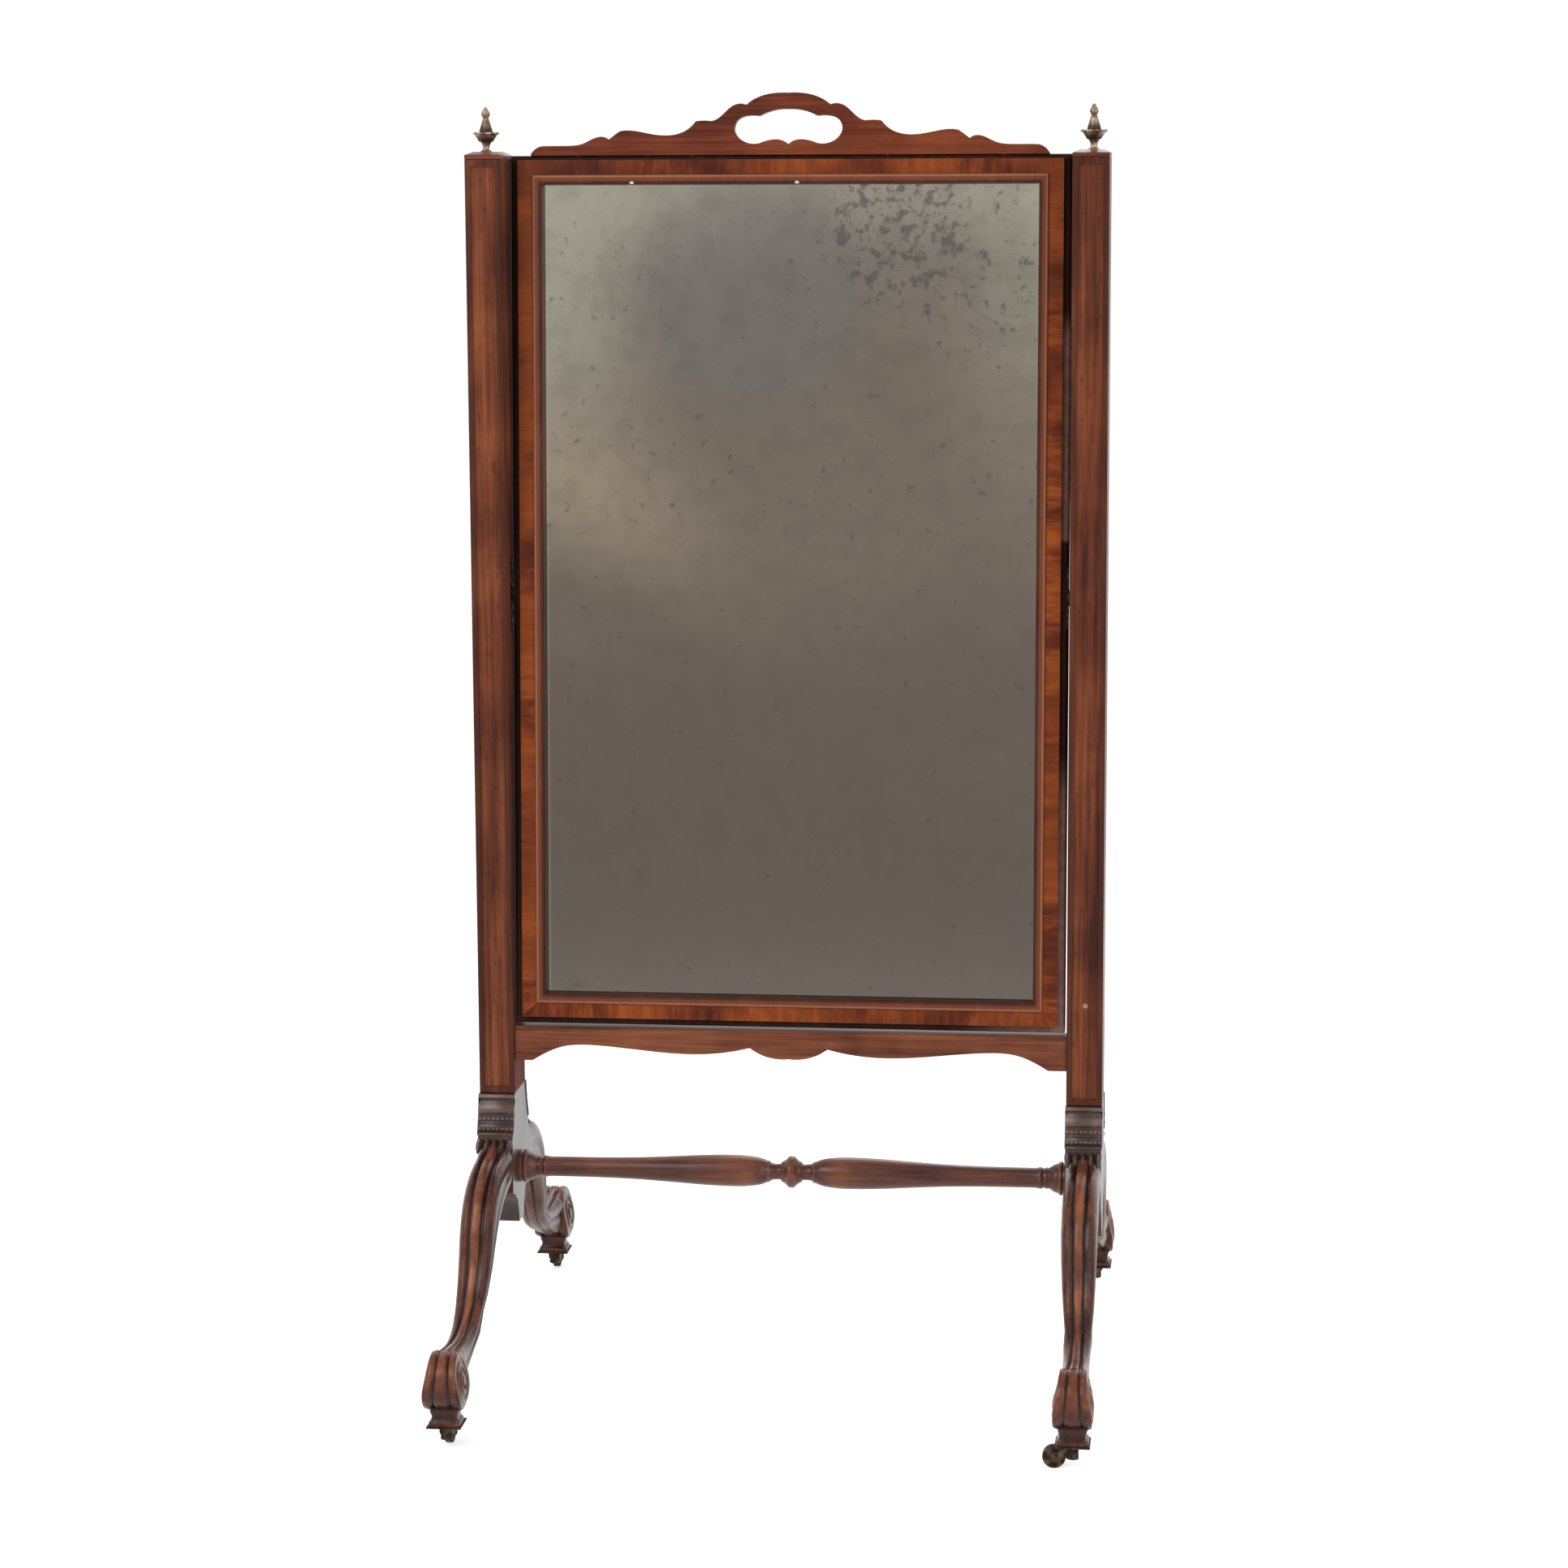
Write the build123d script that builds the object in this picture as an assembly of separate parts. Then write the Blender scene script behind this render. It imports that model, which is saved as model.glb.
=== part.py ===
"""Cheval mirror: a tilting looking glass between two posts, on four scrolled legs with castors.

Millimetres. X runs to the right, Y to the back, Z up. The origin is on the floor, midway between the posts.
The glass and its frame are drawn upright about their pivot and then leaned back to the angle they stand at.
"""
from build123d import *
import math
import os

# Overall stand
STAND_WIDTH = 720.0          # over the outer faces of the posts
POST_WIDTH = 41.0
POST_DEPTH = 70.0
POST_FOOT = 322.0            # height where the post stands on its block
POST_TOP = 1392.0
PANEL_SINK = 2.5             # sunk panel on the front of each post
PANEL_SIDE_BORDER = 6.5
PANEL_TOP_BORDER = 8.0
PANEL_FOOT_BORDER = 8.0

# Cap and finial on each post
CAP_EDGE = 4.7               # straight edge of the cap
CAP_RISE = 3.3               # sloped shoulder above it
CAP_SHOULDERS = (7.0, 17.0)  # how far it runs in, across and deep
STUD_RADIUS = 3.0
STUD_LENGTH = 28.0
FINIAL_OUT = 1.8             # the finials stand a little outward of the posts' middle
FINIAL_STEM = 3.7            # radius of the stem
FINIAL_CUP = 14.6            # radius at the petal tips
FINIAL_HEIGHT = 50.0
PETALS = 8
PETAL_NOTCH = 2.3            # radius of the notch between two petals

# Block at the foot of each post
BLOCK_HALF_TOP = 36.0        # half depth under the post
BLOCK_HALF_LOW = 53.0        # half depth where the legs join
LEG_JOINT_TOP = 272.0
LEG_JOINT_LOW = 207.0
DROP_BOTTOM = 164.0
DROP_HALF = 15.0
POST_TENON = (16.0, 40.0, 30.0)      # across, deep, long

# Carved bands on the front and back of the block, each: top height, bottom height, projection
BANDS = ((322.0, 316.5, 4.2), (316.5, 310.0, 2.0), (310.0, 300.0, 3.4), (300.0, 277.0, 1.6))
BAND_PROUD = 0.8             # how far the bands stand out past the block's sides
BEAD_ROWS = (294.0, 283.0)
BEAD_RADIUS = 3.1
BEADS_IN_ROW = 6

# Legs: outline seen from the side, as distance out from the post's centre line and height
FOOT_OUT = 352.2             # swivel axis, from the post's centre line
FOOT_DRAWN = 352.2           # the same, where the lines and the plan below are drawn
LEG_TOP_LINE = (
    (53.0, 269.0), (80.0, 262.0), (112.0, 257.0), (142.0, 246.0), (167.0, 227.0), (183.0, 200.0),
    (191.0, 172.0), (202.0, 147.0), (217.0, 127.0), (236.0, 112.5), (260.0, 103.5), (285.0, 99.0),
    (308.0, 98.5), (329.0, 100.0),
)
LEG_UNDER_LINE = (
    (53.0, 209.0), (80.0, 205.0), (104.0, 197.0), (126.0, 183.0), (146.0, 164.0), (165.0, 142.0),
    (184.0, 119.0), (205.0, 101.0), (230.0, 87.0), (258.0, 76.0), (285.0, 66.0), (312.0, 56.0),
)
# Width of the leg, and how far its middle stands outward: by distance out for the plan,
# by height for the front
LEG_SPLAY = 2.3
LEG_PLAN = (
    (53.0, 41.0, 0.0), (150.0, 42.0, 0.0), (180.0, 41.5, 0.4), (202.0, 37.5, 0.9), (217.0, 33.5, 1.3),
    (236.0, 28.5, 1.7), (260.0, 25.5, 2.0), (285.0, 25.0, LEG_SPLAY), (302.0, 25.5, LEG_SPLAY),
    (318.0, 28.0, LEG_SPLAY), (334.0, 33.0, LEG_SPLAY), (400.0, 36.0, LEG_SPLAY),
)
LEG_FRONT = (
    (300.0, 41.0, 0.0), (230.0, 42.0, 0.0), (205.0, 41.5, 0.1), (178.0, 40.0, 0.5), (150.0, 37.5, 1.0),
    (128.0, 33.0, 1.7), (112.0, 28.0, LEG_SPLAY), (98.0, 28.0, LEG_SPLAY), (84.0, 34.0, LEG_SPLAY),
    (0.0, 36.0, LEG_SPLAY),
)
SCROLL_FRONT = (
    (112.0, 9.0, LEG_SPLAY), (106.0, 14.0, LEG_SPLAY), (99.0, 20.0, LEG_SPLAY), (91.0, 26.5, LEG_SPLAY),
    (84.0, 32.0, LEG_SPLAY), (77.0, 37.0, LEG_SPLAY), (70.0, 41.5, LEG_SPLAY), (62.0, 43.5, LEG_SPLAY),
    (52.0, 43.0, LEG_SPLAY), (46.0, 40.5, LEG_SPLAY), (40.0, 38.0, LEG_SPLAY),
)
LEG_TENON = (12.0, 38.0, 24.0)       # across, high, long
SCROLL_CENTRE = (FOOT_OUT + 0.3, 76.5)       # place out, height
SCROLL_RADIUS = 32.5
SCROLL_COILS = ((23.0, 1.0), (12.0, 2.2))    # raised coils on the scroll's sides: radius, height
TOE_HALF_WIDTH = 18.5
TOE_HALF_DEPTH = 17.5
TOE_SINK = 10.0              # how far the toe runs up into the scroll
LEG_BLANK = 500.0            # more than any leg's half width or reach

# Castors
CASTOR_HEIGHT = 28.5         # floor to the underside of the toe
WHEEL_RADIUS = 12.7
WHEEL_WIDTH = 8.6
WHEEL_TRAIL = 20.0
WHEEL_GROOVE = (0.8, 5.6, 9.4)       # depth, inner and outer radius
WHEEL_EDGE = 1.4             # rounding of its rim
AXLE_RADIUS = 2.0
RIVET_HEAD = (3.2, 0.9)      # radius, thickness
PIN_RADIUS = 4.0
PIN_RISE = 24.0              # how far the swivel pin stands up into the toe
HORN_BOSS = 6.5
HORN_BOTTOM = 10.5
CHEEK = 2.2
CHEEK_EYE = 5.0              # radius of a cheek round the axle
CHEEK_ROOT = 5.5             # radius of a cheek where it meets the boss
CASTOR_PLATE = (38.0, 1.8)           # side, thickness
CASTOR_SCREW_OUT = 13.7      # screws from the plate's middle, each way
RUNNING_FIT = 0.06           # radial clearance of everything that turns
SIDE_PLAY = 0.4              # gap beside a wheel, under a plate and beside a washer

# Shaped rail under the glass. Its lower edge is drawn for posts 638 apart: places, and depths below its top
APRON_ROOM = 3.2             # between the rail and the upright frame above it
APRON_FRONT = -31.0
APRON_THICK = 22.0
APRON_TENON = (20.0, 26.0, 8.0)      # long, high, thick
APRON_DRAWN_HALF = 319.0
APRON_END_DEPTH = 40.5       # the flat ends of its lower edge
APRON_EDGE = (
    ((298.0, APRON_END_DEPTH), (288.0, 34.5), (264.0, 24.0), (228.0, 21.3), (161.0, 27.1), (106.0, 29.7),
     (66.0, 25.7), (45.0, 21.0)),
    ((45.0, 21.0), (29.0, 29.9), (0.0, 33.3)),
)

# Turned stretcher between the blocks. The swelling is drawn for blocks 638 apart:
# distance from its middle, radius
STRETCHER_HEIGHT = 227.5
STRETCHER_DRAWN_HALF = 319.0
STRETCHER_DOWEL = (9.0, 20.0)        # radius, length into the block
STRETCHER_BODY = (
    (23.0, 9.6), (30.0, 13.2), (40.0, 16.4), (55.0, 18.1), (72.0, 18.4), (90.0, 18.0), (110.0, 17.1),
    (130.0, 15.8), (150.0, 14.6), (175.0, 13.2), (200.0, 12.3), (240.0, 11.7), (290.0, 11.6),
)
KNOP_RADIUS = 18.4
KNOP_HALF = 11.5
NECK_RADIUS = 9.2
KNOP_ROUND = 3.0             # flat part of the knop's edge, from its middle
KNOP_SLOPE = ((5.0, -2.0), (8.5, -5.2))      # place, and change from the knop's radius
NECK_FLARE = 2.6             # how much wider the knop's foot is than the neck
NECK_STEP = 1.0
COLLAR = ((20.0, 12.6), (15.0, 15.5), (10.0, 17.2))     # bell at each end: distance from the block, radius
COLLAR_RIM = 19.6
COLLAR_RIM_LONG = 8.0

# Tilting frame, drawn about its pivot
SIDE_GAP = 2.2               # between the frame and each post
FRAME_HEIGHT = 991.0
FRAME_LEAN = 2.84            # degrees that the glass leans back
PIVOT_HEIGHT = 900.2
LIP_SIDE = 8.8               # lipping round the carcase, by side
LIP_TOP = 5.0
LIP_BOTTOM = 8.0
LIP_SETBACK = 6.0            # how far it stands behind the veneered face
LIP_ROUND = 4.0              # its rounded front corner
MEMBER_WIDTH = 27.5          # stiles and rails
MEMBER_FRONT = -11.5
MEMBER_BACK = 12.5
BANDING = (16.5, 1.5)        # crossbanded veneer: width, thickness
MOULDING_WIDTH = 11.0
MOULDING_RISE = 4.0
MOULDING_ROUND = 2.48        # rounding of its two front edges
REBATE_WIDTH = 8.0
GLASS_FRONT = -1.5
GLASS_THICK = 4.0
GLASS_CLEAR = 1.0            # between the edge of the glass and the rebate
FRAME_TENON = (18.0, 8.0)            # long, thick
GLAZING_BLOCK = (30.0, 6.6)          # long, wide
BACK_LAP = 12.0              # lap of the backboards on the frame
BACK_THICK = 6.0
BACK_BATTEN = (50.0, 5.0)            # wide, thick

# Cresting over the frame, drawn about its own middle for a frame 633.6 wide:
# heights above the frame's top edge
CREST_DRAWN_HALF = 316.8
CREST_SHIFT = -1.2           # its middle lies a little left of the frame's
CREST_FRONT = -8.0
CREST_THICK = 14.0
CREST_RUNS = (
    ((0.0, 68.8), (19.8, 68.0), (35.6, 63.4), (47.4, 55.6)),
    ((47.4, 55.6), (54.3, 57.0), (62.2, 55.0), (75.1, 44.0), (86.9, 37.8)),
    ((86.9, 37.8), (95.8, 38.4), (104.7, 37.6)),
    ((104.7, 37.6), (110.7, 31.0), (117.6, 26.4), (132.4, 22.3), (160.1, 24.6), (179.8, 27.8), (190.7, 27.0)),
    ((190.7, 27.0), (196.6, 23.0), (203.5, 17.6)),
    ((203.5, 17.6), (210.4, 20.9), (219.3, 19.6), (233.2, 13.2), (247.0, 11.0), (280.6, 10.6)),
    ((280.6, 10.6), (287.5, 7.4), (293.4, 0.0)),
)
HOLE_RUNS = (
    ((0.0, 51.0), (17.8, 49.2), (32.6, 43.2)),
    ((32.6, 43.2), (45.4, 43.6), (57.3, 38.6), (60.9, 30.0), (56.3, 19.5), (45.4, 13.2), (32.6, 13.0)),
    ((32.6, 13.0), (19.8, 16.8), (7.9, 16.4), (0.0, 11.6)),
)
DOWEL = (4.0, 16.0, 9.0)             # radius, depth in the rail, rise into the cresting
DOWEL_PLACES = (-240.0, -110.0, 110.0, 240.0)       # for a frame of the drawn width

# Pivots at the middle of the frame's sides
PIVOT_RADIUS = 4.5
PIVOT_REACH = 13.0           # into the post
PIVOT_SHANK = (4.0, 12.0)            # radius and length of the rivet behind the frame's plate
PIVOT_PLATE = (13.0, 70.0, 2.5)      # deep, high, thick
PIVOT_SCREW_OUT = 23.8       # screws above and below the pin
SOCKET_PLATE = (26.0, 84.0, 2.5)
SOCKET_SCREW_OUT = 30.2
WASHER_RADIUS = 9.0
BORE_EXTRA = 0.8             # radial room round a pin inside the wood
PIN_END_ROOM = 2.0

# Countersunk screws: head radius, head depth, shank radius, length
PLATE_SCREW = (3.4, 1.8, 1.5, 14.0)
BACK_SCREW = (3.6, 2.2, 1.6, 15.0)
CASTOR_SCREW = (2.2, 1.3, 1.1, 9.0)

# Sizes worked out from those above
POST_OUTER = STAND_WIDTH / 2
POST_INNER = POST_OUTER - POST_WIDTH
POST_MIDDLE = POST_OUTER - POST_WIDTH / 2
FINIAL_MIDDLE = POST_MIDDLE + FINIAL_OUT
FOOT_MIDDLE = POST_MIDDLE + LEG_SPLAY
FRAME_HALF_WIDTH = POST_INNER - SIDE_GAP
FRAME_HALF_HEIGHT = FRAME_HEIGHT / 2
APRON_TOP = PIVOT_HEIGHT - FRAME_HALF_HEIGHT - APRON_ROOM
APRON_END = APRON_TOP - APRON_END_DEPTH
MEMBER_OUTER_X = FRAME_HALF_WIDTH - LIP_SIDE
MEMBER_TOP = FRAME_HALF_HEIGHT - LIP_TOP
MEMBER_BOTTOM = -FRAME_HALF_HEIGHT + LIP_BOTTOM
OPENING_HALF_WIDTH = MEMBER_OUTER_X - MEMBER_WIDTH
OPENING_TOP = MEMBER_TOP - MEMBER_WIDTH
OPENING_BOTTOM = MEMBER_BOTTOM + MEMBER_WIDTH
FACE_FRONT = MEMBER_FRONT - BANDING[1]
LIP_FRONT = FACE_FRONT + LIP_SETBACK
GLASS_BACK = GLASS_FRONT + GLASS_THICK
GLASS_LAP = REBATE_WIDTH - GLASS_CLEAR
SIDES = (("left", -1), ("right", 1))
ENDS = (("front", -1), ("rear", 1))
# The way each castor trails, in degrees from the X axis
TRAIL = {"front_left": 90.0, "front_right": 180.0, "rear_left": 90.0, "rear_right": 150.0}


def block(x0, x1, y0, y1, z0, z1):
    """A box between two corners."""
    size = (abs(x1 - x0), abs(y1 - y0), abs(z1 - z0))
    return Pos((x0 + x1) / 2, (y0 + y1) / 2, (z0 + z1) / 2) * Box(*size)


def rod(radius, start, direction, length):
    """A round bar from a point along a direction."""
    return extrude(Plane(start, z_dir=direction) * Circle(radius), length)


def side_prism(points, x0, x1):
    """A straight-edged outline in Y and Z, carried across in X."""
    face = Plane.YZ * make_face(Polyline(*points, close=True))
    return Pos(x0, 0, 0) * extrude(face, x1 - x0)


def smooth_runs(runs):
    """Curves through each run of points, meeting at corners."""
    return [Line(*run) if len(run) == 2 else Spline(*run) for run in runs]


def stretched(runs, ratio):
    """Runs of points with their places drawn out by a ratio and their heights kept."""
    return tuple(tuple((x * ratio, z) for x, z in run) for run in runs)


def mirrored(runs):
    """A half outline and its reflection about the vertical, in order round the shape."""
    left = [tuple((-x, z) for x, z in reversed(run)) for run in reversed(runs)]
    return left + list(runs)


def screw(size, place, direction):
    """A countersunk wood screw with its head at a surface, pointing along a direction."""
    head_radius, head_depth, shank_radius, length = size
    outline = Polyline((0, 0), (head_radius, 0), (shank_radius, head_depth), (shank_radius, length - 3),
                       (0, length), close=True)
    turned = revolve(Plane.XZ * make_face(outline), Axis.Z)
    return Plane(place, z_dir=direction).location * turned


def leaned(part):
    """Carry a piece of the tilting frame from its upright drawing to where it stands."""
    return Pos(0, 0, PIVOT_HEIGHT) * (Rot(-FRAME_LEAN, 0, 0) * part)


def post(side):
    """One post, with its sunk front panel and the holes for what it carries."""
    inner, outer = side * POST_INNER, side * POST_OUTER
    front, back = -POST_DEPTH / 2, POST_DEPTH / 2
    body = block(inner, outer, front, back, POST_FOOT, POST_TOP)
    body += post_tenon(side)
    half_panel = POST_WIDTH / 2 - PANEL_SIDE_BORDER
    middle = side * POST_MIDDLE
    body -= block(middle - half_panel, middle + half_panel, front, front + PANEL_SINK,
                  POST_FOOT + PANEL_FOOT_BORDER, POST_TOP - PANEL_TOP_BORDER)
    body -= apron_tenon(side)
    body -= socket_plate_blank(side)
    body -= rod(PIVOT_RADIUS + BORE_EXTRA, (inner, 0, PIVOT_HEIGHT), (side, 0, 0), PIVOT_REACH + PIN_END_ROOM)
    body -= finial_stud(side)
    for fixing in socket_screws(side):
        body -= fixing
    return body


def post_tenon(side):
    """The tongue of the post that goes down into its block."""
    across, deep, long = POST_TENON
    middle = side * POST_MIDDLE
    return block(middle - across / 2, middle + across / 2, -deep / 2, deep / 2, POST_FOOT - long, POST_FOOT)


def post_cap(side):
    """A low cap with sloped shoulders."""
    middle = side * POST_MIDDLE
    edge = Pos(middle, 0, POST_TOP + CAP_EDGE / 2) * Box(POST_WIDTH, POST_DEPTH, CAP_EDGE)
    low = Pos(middle, 0, POST_TOP + CAP_EDGE) * Rectangle(POST_WIDTH, POST_DEPTH)
    high = Pos(middle, 0, POST_TOP + CAP_EDGE + CAP_RISE) * Rectangle(
        POST_WIDTH - 2 * CAP_SHOULDERS[0], POST_DEPTH - 2 * CAP_SHOULDERS[1])
    return edge + loft([low, high]) - finial_stud(side)


def finial_stud(side):
    """The threaded stud that holds a finial down."""
    top = POST_TOP + CAP_EDGE + CAP_RISE
    return rod(STUD_RADIUS, (side * FINIAL_MIDDLE, 0, top - STUD_LENGTH), (0, 0, 1), STUD_LENGTH)


def finial(side):
    """A flower finial: stem, open cup of petals, neck and bud."""
    base = POST_TOP + CAP_EDGE + CAP_RISE
    cup = FINIAL_CUP
    foot = FINIAL_STEM + 1.4
    outline = Spline((foot, 0), (FINIAL_STEM, 2.5), (FINIAL_STEM, 6), (5.6, 10), (9.8, 15.5), (cup, 22.5))
    outline += Polyline((cup, 22.5), (cup - 1.2, 23.3), (7.8, 22.4))
    outline += Spline((7.8, 22.4), (6.3, 27.5), (4.6, 33.0), (3.1, 37.4))
    outline += Spline((3.1, 37.4), (4.9, 41.8), (2.9, 46.2), (0, FINIAL_HEIGHT))
    outline += Polyline((0, FINIAL_HEIGHT), (0, 0), (foot, 0))
    body = revolve(Plane.XZ * make_face(outline), Axis.Z)
    for turn in range(PETALS):
        angle = 360.0 * (turn + 0.5) / PETALS
        notch = rod(PETAL_NOTCH, (cup + 0.8, 0, 0), (0, 0, 1), FINIAL_HEIGHT / 2)
        body -= Rot(0, 0, angle) * notch
    return Pos(side * FINIAL_MIDDLE, 0, base) * body + finial_stud(side)


def block_half_depth(height):
    """Half depth of the leg block at a height between the post and the leg joints."""
    share = (POST_FOOT - height) / (POST_FOOT - LEG_JOINT_TOP)
    return BLOCK_HALF_TOP + (BLOCK_HALF_LOW - BLOCK_HALF_TOP) * share ** 1.25


def block_outline():
    """Front half of the block seen from the side, from its top down to the drop."""
    heights = [POST_FOOT - (POST_FOOT - LEG_JOINT_TOP) * step / 5 for step in range(6)]
    flare = [(block_half_depth(height), height) for height in heights]
    return [
        *flare, (BLOCK_HALF_LOW, LEG_JOINT_LOW), (BLOCK_HALF_LOW - 14, LEG_JOINT_LOW - 4),
        (DROP_HALF + 9, LEG_JOINT_LOW - 15), (DROP_HALF + 2, DROP_BOTTOM + 12), (DROP_HALF, DROP_BOTTOM),
    ]


def both_halves(half):
    """A half outline and its reflection, front and back."""
    return [(-s, z) for s, z in half] + [(s, z) for s, z in reversed(half)]


def leg_block(side):
    """The block that joins a post, two legs and the stretcher."""
    x0, x1 = sorted((side * POST_INNER, side * POST_OUTER))
    body = side_prism(both_halves(block_outline()), x0, x1) - post_tenon(side)
    for _, end in ENDS:
        body -= leg_tenon(side, end)
    return body - stretcher_dowel(side)


def block_bands(side):
    """Carved bands and rows of beads on the front and back faces of a block."""
    x0, x1 = sorted((side * (POST_INNER - BAND_PROUD), side * (POST_OUTER + BAND_PROUD)))
    pieces = []
    for _, end in ENDS:
        carved = None
        for top, bottom, rise in BANDS:
            near_top, near_bottom = block_half_depth(top), block_half_depth(bottom)
            points = [(end * near_top, top), (end * (near_top + rise), top),
                      (end * (near_bottom + rise), bottom), (end * near_bottom, bottom)]
            band = side_prism(points, x0, x1)
            carved = band if carved is None else carved + band
        pitch = (x1 - x0) / BEADS_IN_ROW
        for height in BEAD_ROWS:
            depth = end * (block_half_depth(height) + BANDS[-1][2])
            for place in range(BEADS_IN_ROW):
                bead = Pos(x0 + pitch * (place + 0.5), depth, height) * Sphere(BEAD_RADIUS)
                keep = block(x0, x1, end * (block_half_depth(POST_FOOT) + 20), depth, height - 5, height + 5)
                carved += bead & keep
        pieces.append(carved - side_prism(both_halves(block_outline()), x0, x1))
    return Compound(children=pieces)


def leg_tenon(side, end):
    """The tongue of a leg that goes into its block."""
    across, high, long = LEG_TENON
    middle = side * POST_MIDDLE
    centre = (LEG_JOINT_TOP + LEG_JOINT_LOW) / 2
    return block(middle - across / 2, middle + across / 2, end * (BLOCK_HALF_LOW - long), end * BLOCK_HALF_LOW,
                 centre - high / 2, centre + high / 2)


def reached(rows):
    """Rows with their places out from the block's face drawn out to where the foot stands."""
    ratio = (FOOT_OUT - BLOCK_HALF_LOW) / (FOOT_DRAWN - BLOCK_HALF_LOW)
    return [(BLOCK_HALF_LOW + (out - BLOCK_HALF_LOW) * ratio, *rest) for out, *rest in rows]


def leg_side_form():
    """The leg sawn to its side outline, standing along Y, wide enough to be shaped from the front."""
    top_line, under_line = reached(LEG_TOP_LINE), reached(LEG_UNDER_LINE)
    outline = Spline(*top_line) + Spline(*under_line)
    outline += Line(top_line[0], under_line[0])
    outline += Line(top_line[-1], SCROLL_CENTRE)
    outline += Line(SCROLL_CENTRE, under_line[-1])
    return extrude(Plane.YZ * make_face(outline), LEG_BLANK, both=True)


def width_form(table, outward, plane, thickness, extra=0.0):
    """A solid as wide as a table of places, widths and middles, to shape a leg from above or from the front."""
    right = [(outward * shift + width / 2 + extra, place) for place, width, shift in table]
    left = [(outward * shift - width / 2 - extra, place) for place, width, shift in reversed(table)]
    face = plane * make_face(Polyline(*right, *left, close=True))
    return extrude(face, thickness, both=True)


def leg(side, end):
    """One scrolled leg: sawn from the side, shaped from above and from the front, with its coils and toe."""
    outward = side * end
    form = leg_side_form()
    form &= width_form(reached(LEG_PLAN), outward, Plane.XY, LEG_BLANK)
    form &= width_form(LEG_FRONT, outward, Plane.XZ, LEG_BLANK)
    scroll_s, scroll_z = SCROLL_CENTRE
    middle = outward * LEG_SPLAY
    for radius, height in ((SCROLL_RADIUS, 0.0), *SCROLL_COILS):
        coil = rod(radius, (-LEG_BLANK, scroll_s, scroll_z), (1, 0, 0), 2 * LEG_BLANK)
        form += coil & width_form(SCROLL_FRONT, outward, Plane.XZ, LEG_BLANK, height)
    form += block(middle - TOE_HALF_WIDTH, middle + TOE_HALF_WIDTH, FOOT_OUT - TOE_HALF_DEPTH,
                  FOOT_OUT + TOE_HALF_DEPTH, CASTOR_HEIGHT, scroll_z - SCROLL_RADIUS + TOE_SINK)
    form -= rod(PIN_RADIUS + BORE_EXTRA, (middle, FOOT_OUT, CASTOR_HEIGHT), (0, 0, 1), PIN_RISE + PIN_END_ROOM)
    turn = 0 if end > 0 else 180
    placed = Pos(side * POST_MIDDLE, 0, 0) * (Rot(0, 0, turn) * form)
    placed += leg_tenon(side, end)
    for fixing in castor_screws(side, end):
        placed -= fixing
    return placed


def apron_tenon(side):
    """The tongue of the apron that goes into a post."""
    long, high, thick = APRON_TENON
    middle = APRON_FRONT + APRON_THICK / 2
    centre = (APRON_TOP + APRON_END) / 2
    return block(side * POST_INNER, side * (POST_INNER + long), middle - thick / 2, middle + thick / 2,
                 centre - high / 2, centre + high / 2)


def apron():
    """The shaped rail under the glass."""
    edge = [tuple((x, APRON_TOP - depth) for x, depth in run) for run in APRON_EDGE]
    edge = stretched(edge, POST_INNER / APRON_DRAWN_HALF)
    lower = smooth_runs(mirrored([run[::-1] for run in reversed(edge)]))
    end_x, end_z = edge[0][0]
    outline = lower[0]
    for run in lower[1:]:
        outline += run
    outline += Polyline((end_x, end_z), (POST_INNER, end_z), (POST_INNER, APRON_TOP), (-POST_INNER, APRON_TOP),
                        (-POST_INNER, end_z), (-end_x, end_z))
    face = Plane.XZ * make_face(outline)
    board = Pos(0, APRON_FRONT + APRON_THICK, 0) * extrude(face, APRON_THICK)
    for _, side in SIDES:
        board += apron_tenon(side)
    return board


def stretcher_dowel(side):
    """The turned pin at one end of the stretcher."""
    radius, length = STRETCHER_DOWEL
    return rod(radius, (side * POST_INNER, 0, STRETCHER_HEIGHT), (side, 0, 0), length)


def stretcher():
    """The turned stretcher: two swelling halves, a sharp knop between necks, and a bell at each end."""
    ratio = POST_INNER / STRETCHER_DRAWN_HALF
    half = [(0.0, 0.0), (0.0, KNOP_RADIUS), (KNOP_ROUND, KNOP_RADIUS)]
    half += [(place, KNOP_RADIUS + change) for place, change in KNOP_SLOPE]
    half += [(KNOP_HALF, NECK_RADIUS + NECK_FLARE), (KNOP_HALF + NECK_STEP, NECK_RADIUS)]
    half += [(place * ratio, radius) for place, radius in STRETCHER_BODY]
    half += [(POST_INNER - place, radius) for place, radius in COLLAR]
    half += [(POST_INNER - COLLAR_RIM_LONG, COLLAR_RIM), (POST_INNER, COLLAR_RIM), (POST_INNER, 0.0)]
    profile = Plane.XZ * make_face(Polyline(*half, close=True))
    right = revolve(profile, Axis.X)
    whole = right + mirror(right, Plane.YZ)
    whole = Pos(0, 0, STRETCHER_HEIGHT) * whole
    for _, side in SIDES:
        whole += stretcher_dowel(side)
    return whole


def frame_tenon(side, end):
    """The tongue of a rail that goes into a stile, in the frame's own drawing."""
    long, thick = FRAME_TENON
    z0, z1 = (OPENING_TOP + 4, MEMBER_TOP - 6) if end > 0 else (MEMBER_BOTTOM + 6, OPENING_BOTTOM - 4)
    y1 = GLASS_FRONT - 0.5
    return block(side * OPENING_HALF_WIDTH, side * (OPENING_HALF_WIDTH + long), y1 - thick, y1, z0, z1)


def rebate_blank():
    """The room for the glass and its blocks, cut from the back of the frame."""
    wide = OPENING_HALF_WIDTH + REBATE_WIDTH
    low, high = OPENING_BOTTOM - REBATE_WIDTH, OPENING_TOP + REBATE_WIDTH
    return block(-wide, wide, GLASS_FRONT, MEMBER_BACK, low, high)


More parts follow.
